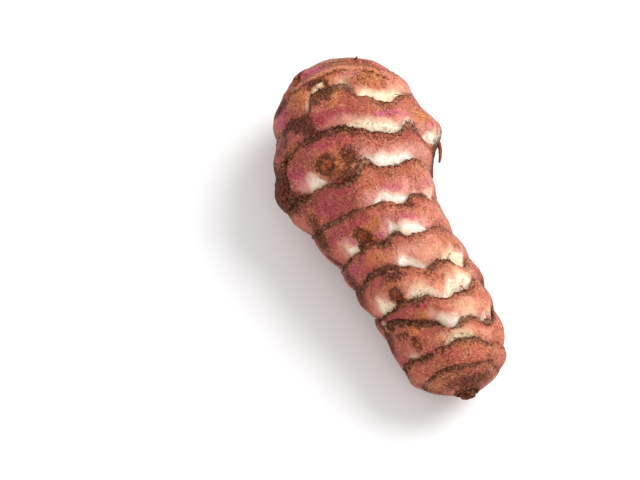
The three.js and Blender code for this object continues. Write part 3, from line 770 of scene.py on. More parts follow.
def make_piece(name, surface, material):
    """An object from a surface: points on the tuber's axis, arrays of equal-sided faces, and masks."""
    points, faces, masks = surface
    mesh = bpy.data.meshes.new(name)
    loops = np.concatenate([f.ravel() for f in faces]).astype(np.int32)
    sides = np.concatenate([np.full(len(f), f.shape[1]) for f in faces])
    mesh.vertices.add(len(points))
    mesh.vertices.foreach_set("co", to_frame(points).astype(np.float32).ravel())
    mesh.loops.add(len(loops))
    mesh.loops.foreach_set("vertex_index", loops)
    mesh.polygons.add(len(sides))
    mesh.polygons.foreach_set("loop_start", np.concatenate([[0], np.cumsum(sides)[:-1]]).astype(np.int32))
    mesh.polygons.foreach_set("use_smooth", np.ones(len(sides), dtype=bool))
    mesh.update(calc_edges=True)
    for mask_name, values in masks.items():
        mask = mesh.attributes.new(mask_name, "FLOAT", "POINT")
        mask.data.foreach_set("value", np.asarray(values, dtype=np.float32).ravel())
    mesh.validate()
    mesh.materials.append(material)
    piece = new_object(name, mesh)
    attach(piece, BODY)
    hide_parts(NODE)


def joined(surfaces):
    """Several (points, faces, masks) as one, with the face numbers moved on."""
    points, faces, start = [], [], 0
    for surface in surfaces:
        points.append(surface[0])
        faces.extend(f + start for f in surface[1])
        start += len(surface[0])
    masks = {key: np.concatenate([s[2][key] for s in surfaces]) for key in surfaces[0][2]}
    return np.concatenate(points), faces, masks


def fan(ring, pole):
    """Triangles from each pair of neighbours in a closed ring of point numbers to one more point."""
    return np.stack([ring, np.roll(ring, -1), np.full(len(ring), pole)], axis=-1)


def tuber_surface(hollow_depth):
    """The whole skin: rows from the stolon scar to the tip bud, closed by a point at each end."""
    angle, ring, x, relief, above, below = skin_rows()
    relief = relief + fine_relief(x, angle) - hollow_depth * hollows(angle, ring, above)
    tail, tail_pole = closing_points(SCAR, TAIL_END, -1, 0, angle[0])
    tip, tip_pole = closing_points(TIP_BUD, TIP_END, 1, TIP_BUD_DROP, angle[0])
    grid = np.concatenate([tail[::-1], skin_point(x, angle, relief), tip])
    masks = {}
    for name, middle in tone_masks(angle, ring, x, above, below).items():
        blank = 1.0 if name == "eye" else 0.0
        corky, pink = (tones.get(name, blank) for tones in (SCAR_TONES, TIP_TONES))
        rows = [np.full(tail.shape[:2], corky), middle, np.full(tip.shape[:2], pink)]
        masks[name] = np.append(np.concatenate(rows), [corky, pink])
    count = len(grid) * COLUMNS
    column = np.arange(COLUMNS)
    ends = [fan(column, count)[:, [2, 1, 0]], fan(count - COLUMNS + column, count + 1)]
    points = np.vstack([grid.reshape(-1, 3), tail_pole, tip_pole])
    return points, [grid_quads(len(grid), COLUMNS, close_columns=True), *ends], masks


def sheet_surface(top, under, masks):
    """A thin closed sheet: a grid of points above, the same grid below, and its long ends shut."""
    rows, columns = top.shape[:2]
    ring = np.arange(2 * rows) * columns
    ends = [ring[None, :], ring[::-1][None, :] + columns - 1]
    both = {}
    for name, values in masks.items():
        values = np.broadcast_to(values, (rows, columns))
        both[name] = np.concatenate([values, values[::-1]]).ravel()
    quads = grid_quads(2 * rows, columns, close_rows=True)
    return np.concatenate([top, under[::-1]]).reshape(-1, 3), [quads, *ends], both


def remain_surface(ring, start, finish, depth, grey, thickness, lift, seed):
    """One papery scale remain: a thin sheet out of the skin below a ring's edge, to a torn free edge past it.

    Its free edge is noise round the tuber with its crests drawn out into teeth, and it lifts as it goes."""
    half = 0.5 * (finish - start)
    columns = int(max(REMAIN_LEAST_COLUMNS, 2 * REMAIN_COLUMNS_PER_DEGREE * half))
    off = np.linspace(-1, 1, columns)[None, :]
    angle = 0.5 * (start + finish) + half * off
    window = np.clip(1 - np.abs(off) ** 4, 0, 1) ** 0.7
    edge = ring_edge(ring, angle)
    teeth = np.clip(swing(angle, FINE_TEETH, seed), 0, 1) ** 1.5
    teeth = teeth + 0.7 * np.clip(swing(angle, BROAD_TEETH, seed), 0, 1)
    low_teeth = sum((swing(angle, kind, seed) for kind in LOW_TEETH), 0.6)
    torn = ragged(ring, angle)
    start_depth = REMAIN_START + REMAIN_START_SHARE * depth * np.clip(low_teeth, 0.15, 1.3)
    begin = edge + torn - window * start_depth
    end = edge + np.clip(torn, -0.1, 0.8) + window * (REMAIN_LEAST_LENGTH + TOOTH_LENGTH * teeth)
    end = np.maximum(end, begin + REMAIN_LEAST_LENGTH)
    t = np.linspace(0, 1, REMAIN_ROWS)[:, None]
    x = begin + (end - begin) * t
    foot = ring_edge(ring - 1, angle)
    relief = roll_relief(ring - 1, np.clip((x - foot) / (edge - foot), 0, 1))
    wide = np.broadcast_to(angle, x.shape)
    crumple = sum(swing(wide, kind, seed) for kind in CRUMPLES)
    crumbs = rough(skin_point(x, wide, 0), REMAIN_CRUMBS, seed)
    rise = window * (lift * t - REMAIN_SUNK + (crumple + crumbs) * t**0.5)
    relief = relief + fine_relief(x, wide) + (rise - REMAIN_END_SUNK * (1 - window))
    top = skin_point(x, wide, relief)
    under = skin_point(x - REMAIN_UNDERCUT * t, wide, relief - thickness * window - REMAIN_UNDERCUT)
    return sheet_surface(top, under, {"rise": t, "grey": grey})


def remains_surface(thickness, lift):
    """The scale remain of every fringe that is deep enough, on both sides of the tuber."""
    marks = twin_marks(FRINGES, (1, 2), (3,), FRINGE_SEED)
    marks = [mark for mark in marks if mark[0] > 0 and mark[3] > REMAIN_LEAST_DEPTH]
    return joined([
        remain_surface(
            ring, start, finish, min(depth, REMAIN_MOST_DEPTH), grey, thickness, lift, REMAIN_SEED + 10 * i
        )
        for i, (ring, start, finish, depth, _, grey) in enumerate(marks)
    ])


def tube_surface(path, radius, sides, pale):
    """A tapering tube along a path: a circle of points square to it at each step, shut at both ends."""
    steps = len(path)
    along = np.gradient(path, axis=0)
    along = along / np.linalg.norm(along, axis=1, keepdims=True)
    across = np.cross(along, TUBE_HELPER)
    across = across / np.linalg.norm(across, axis=1, keepdims=True)
    third = np.cross(along, across)
    turn = np.linspace(0, 2 * math.pi, sides, endpoint=False)[None, :, None]
    circle = np.cos(turn) * across[:, None] + np.sin(turn) * third[:, None]
    points = path[:, None] + circle * radius[:, None, None]
    ring = np.arange(sides)
    ends = [ring[None, ::-1], ((steps - 1) * sides + ring)[None, :]]
    shade = np.broadcast_to(np.linspace(pale, 0.3 * pale, steps)[:, None], points.shape[:2])
    quads = grid_quads(steps, sides, close_columns=True)
    return points.reshape(-1, 3), [quads, *ends], {"pale": shade.ravel()}


def root_surface(angle, x, length, thickness, lean, droop, seed):
    """One broken root: from under the skin outwards along its lean, bending by droop, with a torn end."""
    t = np.linspace(0, 1, ROOT_STEPS)
    reach = -ROOT_SUNK + (length + ROOT_SUNK) * t
    bend = droop * np.clip(reach, 0, None) ** 1.6 / max(length, 1) ** 0.6
    tilt = math.radians(lean)
    base = skin_point(np.full(ROOT_STEPS, x), np.full(ROOT_STEPS, float(angle)), reach * math.cos(tilt))
    path = base + np.stack([reach * math.sin(tilt), -0.7 * bend, -0.35 * np.abs(bend)], axis=-1)
    path = path + rough(path, ROOT_KINKS, seed)[:, None]
    radius = thickness * (0.6 - 0.34 * t) * (1 + rough(path, ROOT_SWELLS, seed))
    return tube_surface(path, radius, ROOT_SIDES, ROOT_PALE)


def fibre_surface(angle_a, x_a, angle_b, x_b, thickness, pale, seed):
    """One loose fibre lying over the skin between two places, waving a little and sinking in at its ends."""
    t = np.linspace(0, 1, FIBRE_STEPS)
    hump = np.sin(math.pi * t)
    sideways, lengthwise = (swing(t * 360, wave, seed) * hump for wave in FIBRE_WAVES)
    angle = angle_a + (angle_b - angle_a) * t + sideways
    x = x_a + (x_b - x_a) * t + lengthwise
    lift = (0.5 + 1.1 * thickness) * hump**0.5 - 0.25
    path = skin_point(x, angle, lift + fine_relief(x, angle))
    radius = thickness * (0.5 - 0.25 * np.abs(2 * t - 1) ** 3)
    return tube_surface(path, radius, FIBRE_SIDES, pale)


def fibres_surface(stray_count, stray_thickness):
    """The placed fibres, then stray ones drawn by a seeded rule near the rings' edges."""
    surfaces = [fibre_surface(*fibre, PLACED_FIBRE_SEED + i) for i, fibre in enumerate(FIBRES)]
    rng = np.random.default_rng(FIBRE_SEED)
    for i in range(stray_count):
        ring = int(rng.integers(1, len(RINGS) - 1))
        angle = rng.uniform(-180, 180)
        x = float(ring_edge(ring, np.array(angle))) + rng.uniform(-1.6, 0.2)
        turn, reach = rng.uniform(-7, 7), rng.uniform(0.6, 2.4)
        thickness, pale = stray_thickness * rng.uniform(0.6, 1.4), rng.uniform(0, 0.9)
        seed = STRAY_FIBRE_SEED + 3 * i
        surfaces.append(fibre_surface(angle, x, angle + turn, x + reach, thickness, pale, seed))
    return joined(surfaces)


def bud_surface(angle, x, size, brown, spread, seed):
    """The small bud in an eye: a low dome about the eye's middle, folded into two facing scales.

    Height is size * (1 - r^2)^0.8 with a fold across it, an outer collar, and noise; r is 1 at its foot."""
    rings, sides = BUD_RINGS, BUD_SIDES
    r = np.linspace(0.02, 1, rings)[:, None]
    turn = np.linspace(0, 2 * math.pi, sides, endpoint=False)[None, :]
    spread = spread * size * (1 - 0.25 * brown)
    fold = np.exp(-((r * np.sin(turn + 0.4 * seed) / FOLD_WIDTH) ** 2)) * (1 - r)
    collar = BUD_COLLAR * bump(r - COLLAR_AT, BUD_COLLAR_WIDTH)
    height = size * (BUD_DOME * (1 - r**2) ** 0.8 - BUD_FOLD * fold + collar) - BUD_FOOT_DROP * r**6
    wobble = 1 + swing(np.degrees(turn) + 31 * seed, BUD_WOBBLE, seed)
    across, along = spread * r * np.cos(turn) * wobble, spread * r * np.sin(turn) * wobble
    at_x = x + along + BUD_LEAN * size * (1 - r)
    at_angle = angle + np.degrees(across / EYE_TURN_RADIUS)
    sunk = -size * (BUD_SUNK + BUD_CORKY_SUNK * brown)
    crumbs = (0.1 + 0.14 * brown) * lattice_noise(skin_point(at_x, at_angle, 0), 0.7, seed)
    points = skin_point(at_x, at_angle, sunk + height + crumbs * (1 - r)).reshape(-1, 3)
    top_height = sunk + BUD_DOME * size - 0.4 * size
    top = skin_point(np.array(x + BUD_LEAN * size), np.array(float(angle)), top_height)
    # Rings run outwards from the middle here, so the quads turn the other way.
    quads = grid_quads(rings, sides, close_columns=True)[:, ::-1]
    foot = ((rings - 1) * sides + np.arange(sides)[::-1])[None, :]
    dry = np.clip(brown * (0.45 + 0.5 * (1 - r)) + 0.25 * fold, 0, 1)
    masks = {}
    for name, values, at_top in (("rise", 1 - r, 1.0), ("dry", dry, brown), ("brown", brown, brown)):
        masks[name] = np.append(np.broadcast_to(values, (rings, sides)), at_top)
    return np.vstack([points, top]), [quads, fan(np.arange(sides), len(points)), foot], masks


def tip_scale_surface(at, reach, half, seed):
    """One pointed scale over the tip bud: a sheet from the rim of the end in towards the point."""
    t = np.linspace(0, 1, TIP_SCALE_ROWS)[:, None]
    off = np.linspace(-1, 1, TIP_SCALE_COLUMNS)[None, :]
    share = reach * (1 - 0.86 * t)
    narrow = (1 - t) ** 0.75 + 0.02
    angle = at + half * narrow * off + swing(t * 200 + 0 * off, TIP_SCALE_WANDER, seed)
    section = section_at(np.array(TIP_END))
    past = np.interp(share, TIP_BUD[::-1, 0], TIP_BUD[::-1, 1])
    pole = np.array([TIP_END + TIP_BUD[-1, 1], section[0], section[1] - TIP_BUD_DROP])
    edge = skin_point(np.full(angle.shape, TIP_END), angle, 0)
    top = pole + (edge - pole) * share[..., None]
    top[..., 0] = TIP_END + past + 0.32 + 0.25 * t - 0.35 * off**2 * (1 - 0.5 * t)
    under = top - np.array([TIP_SCALE_THICKNESS, 0, 0])
    dry = np.clip(between(0.72, 1.0, t) + 0.7 * between(0.75, 1.0, np.abs(off)), 0, 1)
    return sheet_surface(top, under, {"rise": t, "dry": dry, "brown": 0.0})


def buds_surface(spread):
    """The bud in every eye, and the pointed scales of the tip bud."""
    buds = [bud_surface(*eye, spread, BUD_SEED + 3 * i) for i, eye in enumerate(EYES)]
    scales = [tip_scale_surface(*scale, TIP_SCALE_SEED + i) for i, scale in enumerate(TIP_SCALES)]
    return joined(buds + scales)


# ---- materials -------------------------------------------

# What every material's shader has.
SHADER = {"Specular IOR Level": 0.15, "Subsurface Radius": (1.0, 0.4, 0.25), "Subsurface Scale": 0.0012}
# The two fine noises of the skin and its remains: size in millimetres, detail, roughness.
STIPPLE = (1.1, 3.0, 0.7)
GRAIN = (0.62, 3.0, 0.75)


def tone(hex_code):
    """A colour written as red, green and blue in hexadecimal, as linear light."""
    parts = [int(hex_code[i:i + 2], 16) / 255 for i in (0, 2, 4)]
    return tuple(p / 12.92 if p <= 0.04045 else ((p + 0.055) / 1.055) ** 2.4 for p in parts)


class Board:
    """A node tree with short ways to add, set and join nodes. A share or mask is 0 to 1."""

    def __init__(self, tree):
        self.tree = tree

    def add(self, kind, inputs=(), **settings):
        node = self.tree.nodes.new(kind)
        for key, value in settings.items():
            setattr(node, key, value)
        for key, value in dict(inputs).items():
            self.feed(node.inputs[key], value)
        return node

    def feed(self, socket, value):
        if isinstance(value, bpy.types.NodeSocket):
            self.tree.links.new(value, socket)
        elif socket.type == "RGBA":
            socket.default_value = (*value, 1)
        else:
            socket.default_value = value

    def mix(self, share, low, high):
        """The colour `low` where share is 0, and `high` where it is 1."""
        return self.add("ShaderNodeMix", {0: share, 6: low, 7: high}, data_type="RGBA").outputs[2]

    def lay(self, under, colour, share, most):
        """One colour over another, where share says, and at most by `most`."""
        return self.mix(self.times(share, most), under, colour)

    def math(self, operation, *values):
        return self.add("ShaderNodeMath", dict(enumerate(values)), operation=operation).outputs[0]

    def times(self, value, other):
        return self.math("MULTIPLY", value, other)

    def plus(self, value, other):
        return self.math("ADD", value, other)

    def minus(self, value, other):
        return self.math("SUBTRACT", value, other)

    def larger(self, value, other):
        return self.math("MAXIMUM", value, other)

    def fade(self, value, low, high):
        """0 where value is low, 1 where it is high; low may be the greater of the two."""
        inputs = {"Value": value, "From Min": low, "From Max": high}
        return self.add("ShaderNodeMapRange", inputs, interpolation_type="SMOOTHSTEP").outputs[0]

    def noise_at(self, scale, detail, roughness=0.5, stretch=(1.0, 1.0, 1.0)):
        """Noise with about `scale` features to a metre, longer along an axis where stretch is below 1."""
        where = self.add("ShaderNodeTexCoord").outputs["Object"]
        place = self.add("ShaderNodeMapping", {"Vector": where, "Scale": stretch}).outputs[0]
        inputs = {"Vector": place, "Scale": scale, "Detail": detail, "Roughness": roughness}
        return self.add("ShaderNodeTexNoise", inputs).outputs[0]

    def noise(self, size_mm, detail, roughness, **stretch):
        """Noise with features about size_mm across."""
        return self.noise_at(1000 / size_mm, detail, roughness, **stretch)

    def mask(self, name):
        return self.add("ShaderNodeAttribute", attribute_name=name).outputs["Fac"]

    def group(self, name, **inputs):
        inputs = {key.capitalize(): value for key, value in inputs.items()}
        return self.add("ShaderNodeGroup", inputs, node_tree=bpy.data.node_groups[name]).outputs[0]

    def torn(self, name, scale, tear, softness):
        return self.group("Torn edge", mask=self.mask(name), scale=scale, tear=tear, softness=softness)


def new_group(name, **inputs):
    """An empty group of number sockets: its board, the sockets that come in, and the one that goes out."""
    tree = bpy.data.node_groups.new(name, "ShaderNodeTree")
    tree.interface.new_socket("Mask", in_out="OUTPUT", socket_type="NodeSocketFloat")
    for key, default in inputs.items():
        tree.interface.new_socket(key, in_out="INPUT", socket_type="NodeSocketFloat").default_value = default
    board = Board(tree)
    return board, board.add("NodeGroupInput").outputs, board.add("NodeGroupOutput").inputs[0]


def make_torn_edge_group():
    """A mask with its edge torn by noise, then sharpened about one half."""
    board, given, out = new_group("Torn edge", Mask=0, Scale=800, Tear=0.5, Softness=0.1)
    noise = board.noise_at(given["Scale"], 4.0, 0.62)
    tear = board.times(board.minus(noise, 0.5), given["Tear"])
    torn = board.plus(given["Mask"], board.times(tear, 2.0))
    low, high = board.minus(0.5, given["Softness"]), board.plus(0.5, given["Softness"])
    board.feed(out, board.fade(torn, low, high))


def make_flecks_group():
    """Small flecks: noise above a threshold, in clusters that come and go."""
    board, given, out = new_group("Flecks", Scale=2600, Threshold=0.6, Cluster=250)
    grain = board.noise_at(given["Scale"], 2.0, 0.6)
    cluster = board.noise_at(given["Cluster"], 2.0)
    level = board.plus(grain, board.times(board.minus(cluster, 0.5), 0.5))
    board.feed(out, board.fade(level, given["Threshold"], board.plus(given["Threshold"], 0.07)))


def make_crumbs_group():
    """Crust broken into crumbs: a mask against noise of two sizes, thick where it is 1 and sparse near 0."""
    board, given, out = new_group("Crumbs", Mask=0, Scale=900, Spread=0.34)
    coarse, fine = (board.noise_at(board.times(given["Scale"], share), 3.0, 0.72) for share in (1.0, 2.1))
    lean = board.times(board.minus(given["Mask"], 0.5), given["Spread"])
    level = board.plus(board.times(board.plus(coarse, fine), 0.5), lean)
    board.feed(out, board.times(board.fade(level, 0.45, 0.55), board.fade(given["Mask"], 0.02, 0.3)))


def new_material(name):
    """A material with nodes, and its board."""
    material = bpy.data.materials.new(name)
    material.use_nodes = True
    return material, Board(material.node_tree)


def finish_material(material, colour, roughness, height=None, depth_mm=0.0, subsurface=0.0):
    """Sets or joins the sockets of a material's one shader. Height is relief up to about depth_mm deep."""
    board = Board(material.node_tree)
    inputs = {**SHADER, "Base Color": colour, "Roughness": roughness, "Subsurface Weight": subsurface}
    if height is not None:
        relief = {"Height": height, "Distance": depth_mm * MM, "Strength": 1.0}
        inputs["Normal"] = board.add("ShaderNodeBump", relief).outputs[0]
    shader = material.node_tree.nodes["Principled BSDF"]
    for key, value in inputs.items():
        board.feed(shader.inputs[key], value)
    return material


def make_skin_material(colours):
    """Russet skin with red, orange and magenta stretches, pale clasped bands, crusts, and corky eyes.

    Grain shows most below the rings' edges and hardly at all on the smooth pale bands."""
    material, board = new_material("russet skin")
    lay, fade, times, torn = board.lay, board.fade, board.times, board.torn
    broad = board.noise(8.0, 3.0, 0.6)
    mottled = board.noise(2.4, 4.0, 0.65)
    stipple = board.noise(*STIPPLE)
    grain = board.noise(*GRAIN)
    warm = board.mask("warm")
    blush = torn("blush", 330.0, 0.45, 0.45)
    bare = torn("bare", 620.0, 0.36, 0.34)
    smooth = board.larger(times(board.mask("blush"), 0.85), bare)
    calm = board.minus(1.0, times(smooth, 0.92))
    rim = torn("rim", 700.0, 0.8, 0.45)
    coarse = times(calm, board.plus(0.42, times(rim, 0.58)))

    skin = board.mix(fade(broad, 0.38, 0.62), colours.russet, colours.brick)
    red = torn("red", 300.0, 0.6, 0.45)
    skin = lay(skin, colours.crimson, red, 0.8)
    skin = lay(skin, colours.salmon, torn("salmon", 320.0, 0.6, 0.45), 0.7)
    skin = lay(skin, colours.amber, torn("orange", 420.0, 0.8, 0.4), 0.72)
    skin = lay(skin, colours.ochre, fade(mottled, 0.48, 0.66), 0.5)
    # Along fold ridges this blush layer paints a highlight.
    skin = lay(skin, board.mix(warm, colours.pink, colours.tan), blush, 0.78)
    skin = lay(skin, colours.magenta, torn("magenta", 420.0, 0.45, 0.45), 0.7)
    skin = lay(skin, colours.ochre, rim, 0.35)

    patchy = fade(board.noise(4.5, 2.0, 0.5), 0.36, 0.6)
    patchy = board.plus(0.45, times(patchy, 0.75))
    light = board.larger(fade(grain, 0.53, 0.64), fade(stipple, 0.56, 0.7))
    light = times(times(light, patchy), board.minus(1.0, times(red, 0.55)))
    skin = lay(skin, colours.tan, times(light, calm), 0.6)
    dark = board.larger(fade(grain, 0.48, 0.41), fade(stipple, 0.44, 0.35))
    skin = lay(skin, colours.umber, times(times(dark, patchy), coarse), 0.9)
    flecks = board.group("Flecks", scale=1900.0, threshold=0.6, cluster=260.0)
    skin = lay(skin, colours.umber, times(flecks, calm), 0.8)

    streaks = board.noise(0.9, 3.0, 0.65, stretch=(0.3, 1.0, 1.0))
    specks = board.group("Flecks", scale=1500.0, threshold=0.6, cluster=420.0)
    pale = board.mix(warm, colours.white, colours.cream)
    pale = lay(pale, colours.pink, fade(mottled, 0.48, 0.68), 0.45)
    pale = lay(pale, colours.cream, fade(broad, 0.52, 0.66), 0.6)
    pale = lay(pale, colours.ochre, times(fade(grain, 0.54, 0.64), warm), 0.5)
    pale = lay(pale, colours.tan, fade(streaks, 0.54, 0.68), 0.5)
    pale = lay(pale, colours.umber, times(specks, warm), 0.7)
    skin = lay(skin, colours.brick, times(fade(streaks, 0.47, 0.36), blush), 0.5)
    halo = times(bare, board.minus(1.0, bare))
    skin = lay(board.mix(bare, skin, pale), colours.tan, halo, 1.6)

    soil, fringe = (board.group("Crumbs", mask=board.mask(name)) for name in ("soil", "fringe"))
    # Besides soiled skin, this mask paints shade in fold creases and on the lower left flank.
    skin = lay(skin, colours.umber, fade(board.mask("soil"), 0.1, 0.9), 0.45)
    crust = board.mix(fade(stipple, 0.42, 0.6), colours.bark, colours.earth)
    skin = lay(skin, lay(crust, colours.straw, fade(grain, 0.56, 0.68), 0.6), soil, 0.8)
    # Besides the papery remains, the fringe mask here paints one shadow just below a ring's edge.
    skin = lay(skin, papery_tone(board, stipple, grain, colours), fringe, 0.88)
    skin = corky_eye(board, skin, stipple, colours)

    crusts = board.larger(fringe, soil)
    height = times(board.plus(grain, times(stipple, 1.3)), coarse)
    height = board.plus(height, times(mottled, 0.8))
    height = board.plus(height, times(crusts, board.noise(0.8, 4.0, 0.75)))
    roughness = board.plus(0.48, times(crusts, 0.36))
    return finish_material(material, skin, roughness, height, 0.8, subsurface=0.04)


def papery_tone(board, stipple, grain, colours):
    """Near-black to brown crust, or grey-brown where the mask says, with dark and straw-coloured grains."""
    brown = board.mix(board.fade(stipple, 0.38, 0.6), colours.bark, colours.earth)
    grey = board.mix(board.fade(stipple, 0.36, 0.58), colours.earth, colours.husk)
    crust = board.mix(board.mask("grey"), brown, grey)
    crust = board.lay(crust, colours.bark, board.fade(grain, 0.47, 0.38), 0.9)
    return board.lay(crust, colours.straw, board.fade(grain, 0.55, 0.66), 0.6)


def corky_eye(board, skin, stipple, colours):
    """Amber and brown crumbs over an eye, round a dark ragged ring with a rusty middle."""
    brown = board.mask("brown")
    swirl = board.noise(1.9, 4.0, 0.7)
    wander = board.minus(board.plus(swirl, board.times(stipple, 0.6)), 0.8)
    reach = board.plus(board.mask("eye"), board.times(wander, 0.55))
    shade = board.mix(board.fade(stipple, 0.48, 0.64), colours.cork, colours.amber)
    skin = board.lay(skin, shade, board.torn("brown", 900.0, 0.9, 0.3), 0.72)
    crumbs = board.times(board.fade(swirl, 0.5, 0.4), board.fade(reach, 0.5, 0.3))
    skin = board.lay(skin, colours.umber, board.times(crumbs, brown), 0.7)
    ring = board.fade(board.math("ABSOLUTE", board.minus(reach, 0.2)), 0.1, 0.03)
    return board.lay(skin, colours.bark, board.times(ring, brown), 0.95)


def make_papery_material(colours):
    """Scale remains: near-black to grey-brown crust, darker towards the torn free edge."""
    material, board = new_material("scale remains")
    stipple, grain = board.noise(*STIPPLE), board.noise(*GRAIN)
    tip = board.plus(board.mask("rise"), board.times(board.minus(grain, 0.5), 1.4))
    crust = papery_tone(board, stipple, grain, colours)
    crust = board.lay(crust, colours.bark, board.fade(tip, 0.5, 1.0), 0.6)
    return finish_material(material, crust, 0.85, board.plus(grain, stipple), 0.4)


def make_root_material(colours):
    """Dry broken roots and fibres, straw to dark brown along their length."""
    material, board = new_material("dry root")
    streaks = board.noise(0.6, 4.0, 0.7)
    brown = board.mix(board.fade(streaks, 0.4, 0.62), colours.bark, colours.cork)
    brown = board.lay(brown, colours.straw, board.mask("pale"), 0.75)
    return finish_material(material, brown, 0.8, streaks, 0.1)


def make_bud_material(colours):
    """Small bud scales: pale at the foot, magenta over the middle, or rusty brown and dry in a corky eye."""
    material, board = new_material("bud scale")
    mottled = board.noise(0.9, 4.0, 0.7)
    rise = board.mask("rise")
    brown = board.mask("brown")
    scale = board.mix(board.fade(rise, 0.02, 0.45), colours.pink, colours.salmon)
    scale = board.lay(scale, colours.magenta, board.fade(rise, 0.15, 0.6), 0.4)
    scale = board.lay(scale, colours.crimson, board.fade(board.noise(0.5, 2.0, 0.6), 0.5, 0.62), 0.5)
    scale = board.lay(scale, colours.ochre, board.fade(mottled, 0.5, 0.7), 0.5)
    rusty = board.mix(board.fade(mottled, 0.4, 0.56), colours.umber, colours.cork)
    scale = board.mix(board.fade(brown, 0.35, 0.75), scale, rusty)
    most = board.minus(0.7, board.times(brown, 0.45))
    scale = board.lay(scale, colours.bark, board.torn("dry", 1500.0, 0.7, 0.25), most)
    roughness = board.plus(0.5, board.times(brown, 0.35))
    return finish_material(material, scale, roughness, mottled, 0.2, subsurface=0.04)


# ---- properties and operators ----------------------------


def colour_property(name, description, hex_code):
    return FloatVectorProperty(
        name=name, description=description, default=tone(hex_code), subtype="COLOR", size=3, min=0, max=1
    )


class ArtichokeColours(bpy.types.PropertyGroup):
    """Tones of the skin and what clings to it."""

    # Some tones also paint light: umber, earth and bark paint shade in fold creases and on the lower left
    # flank, with crimson there too. Bark, earth and husk paint a shadow below one edge, and pink and tan a
    # highlight along fold ridges.
    russet: colour_property("Russet", "The skin's main tone", "C0634D")
    brick: colour_property("Brick", "Darker stretches of the skin", "A44B3C")
    ochre: colour_property("Ochre", "Browner mottling of the skin", "AC6A3C")
    crimson: colour_property("Crimson", "Deep red stretches", "AC3850")
    salmon: colour_property("Salmon", "Paler, smoother stretches", "E0937C")
    pink: colour_property("Pink", "The blush round the bare bands", "EBA9A2")
    magenta: colour_property("Magenta", "Purple-pink blushes", "C84C80")
    amber: colour_property("Amber", "Orange-brown patches", "CC7A3A")
    tan: colour_property("Tan", "Fine pale grain", "E2A682")
    umber: colour_property("Umber", "Fine dark flecks", "562216")
    cream: colour_property("Cream", "Yellower parts of the bare bands", "F0DCB2")
    white: colour_property("White", "The bare bands", "F8EEE4")
    earth: colour_property("Earth", "Corky, soiled skin", "723A26")
    bark: colour_property("Bark", "The darkest scale remains", "2C120A")
    husk: colour_property("Husk", "Paler scale remains", "AC7A60")
    cork: colour_property("Cork", "Corky rings of an eye", "9C4E2A")
    straw: colour_property("Straw", "Dry fibres", "C4966A")


def length_property(name, description, default_mm, most_mm):
    return FloatProperty(
        name=name, description=description, default=default_mm * MM, min=0, max=most_mm * MM,
        precision=5, unit="LENGTH",
    )


class ArtichokeSizes(bpy.types.PropertyGroup):
    """Sizes of the relief and of what clings to the skin."""

    hollow_depth: length_property("Hollows", "How far the skin sinks under the bare bands", 0.5, 1.0)
    remain_thickness: length_property("Scale thickness", "Thickness of the scale remains", 0.12, 0.6)
    remain_lift: length_property("Scale lift", "How far their free edges stand off the skin", 0.34, 1.2)
    fibre_thickness: length_property("Fibre thickness", "Mean thickness of the stray fibres", 0.19, 0.6)
    fibre_count: IntProperty(
        name="Stray fibres", description="How many stray fibres", default=46, min=0, max=300
    )
    bud_radius: length_property("Bud radius", "Radius of a bud of size 1", 1.7, 3.0)


class ArtichokeStage(bpy.types.PropertyGroup):
    """The camera, lights and floor."""

    azimuth: FloatProperty(
        name="Azimuth", description="Camera angle round the tuber, in degrees", default=-102.0
    )
    elevation: FloatProperty(
        name="Elevation", description="Camera angle above the floor, in degrees", default=65.0
    )
    distance: FloatProperty(
        name="Distance", description="From the aim to the camera", default=0.5049, unit="LENGTH"
    )
    lens: FloatProperty(name="Lens", description="Focal length in millimetres", default=100.0)
    key_power: FloatProperty(name="Key", description="Power of the main light", default=11.5, unit="POWER")
    fill_power: FloatProperty(name="Fill", description="Power of the fill light", default=2.0, unit="POWER")
    sky: FloatProperty(name="Sky", description="Brightness of the surroundings", default=0.72)


class ARTICHOKE_OT_skin(bpy.types.Operator):
    """Makes the tuber's ringed skin and its material"""

    bl_idname = "artichoke.skin"
    bl_label = "Skin"

    def execute(self, context):
        surface = tuber_surface(context.scene.artichoke_sizes.hollow_depth / MM)
        make_piece("ringed_skin", surface, make_skin_material(context.scene.artichoke_colours))
        return {"FINISHED"}


class ARTICHOKE_OT_remains(bpy.types.Operator):
    """Makes the papery remains of the scale leaves along the rings"""

    bl_idname = "artichoke.remains"
    bl_label = "Scale remains"

    def execute(self, context):
        sizes = context.scene.artichoke_sizes
        surface = remains_surface(sizes.remain_thickness / MM, sizes.remain_lift / MM)
        make_piece("scale_remains", surface, make_papery_material(context.scene.artichoke_colours))
        return {"FINISHED"}


class ARTICHOKE_OT_buds(bpy.types.Operator):
    """Makes the bud in each eye and the scales of the tip bud"""

    bl_idname = "artichoke.buds"
    bl_label = "Buds"

    def execute(self, context):
        surface = buds_surface(context.scene.artichoke_sizes.bud_radius / MM)
        make_piece("buds", surface, make_bud_material(context.scene.artichoke_colours))
        return {"FINISHED"}


class ARTICHOKE_OT_roots(bpy.types.Operator):
    """Makes the broken roots and the loose fibres"""

    bl_idname = "artichoke.roots"
    bl_label = "Roots and fibres"

    def execute(self, context):
        material = make_root_material(context.scene.artichoke_colours)
        sizes = context.scene.artichoke_sizes
        roots = joined([root_surface(*root, ROOT_SEED + i) for i, root in enumerate(ROOTS)])
        make_piece("broken_roots", roots, material)
        make_piece("fibres", fibres_surface(sizes.fibre_count, sizes.fibre_thickness / MM), material)
        return {"FINISHED"}


# The stage: places, sizes and tones of the camera's aim, floor and lights, in metres.
AIM = Vector((0.0, 0.0, 0.022))
AIM_PIXEL = (375, 220)
PICTURE = (640, 480)
SENSOR, CLIP_START = 0.036, 0.01
FLOOR_HALF, FLOOR_DROP = 1.6, 0.0002
FLOOR_TONE, FLOOR_ROUGHNESS = (0.93, 0.93, 0.935), 0.7
KEY_PLACE, KEY_SIZE = (0.22, -0.74, 0.8), 0.8
FILL_PLACE, FILL_SIZE = (-0.7, 0.1, 0.8), 0.9


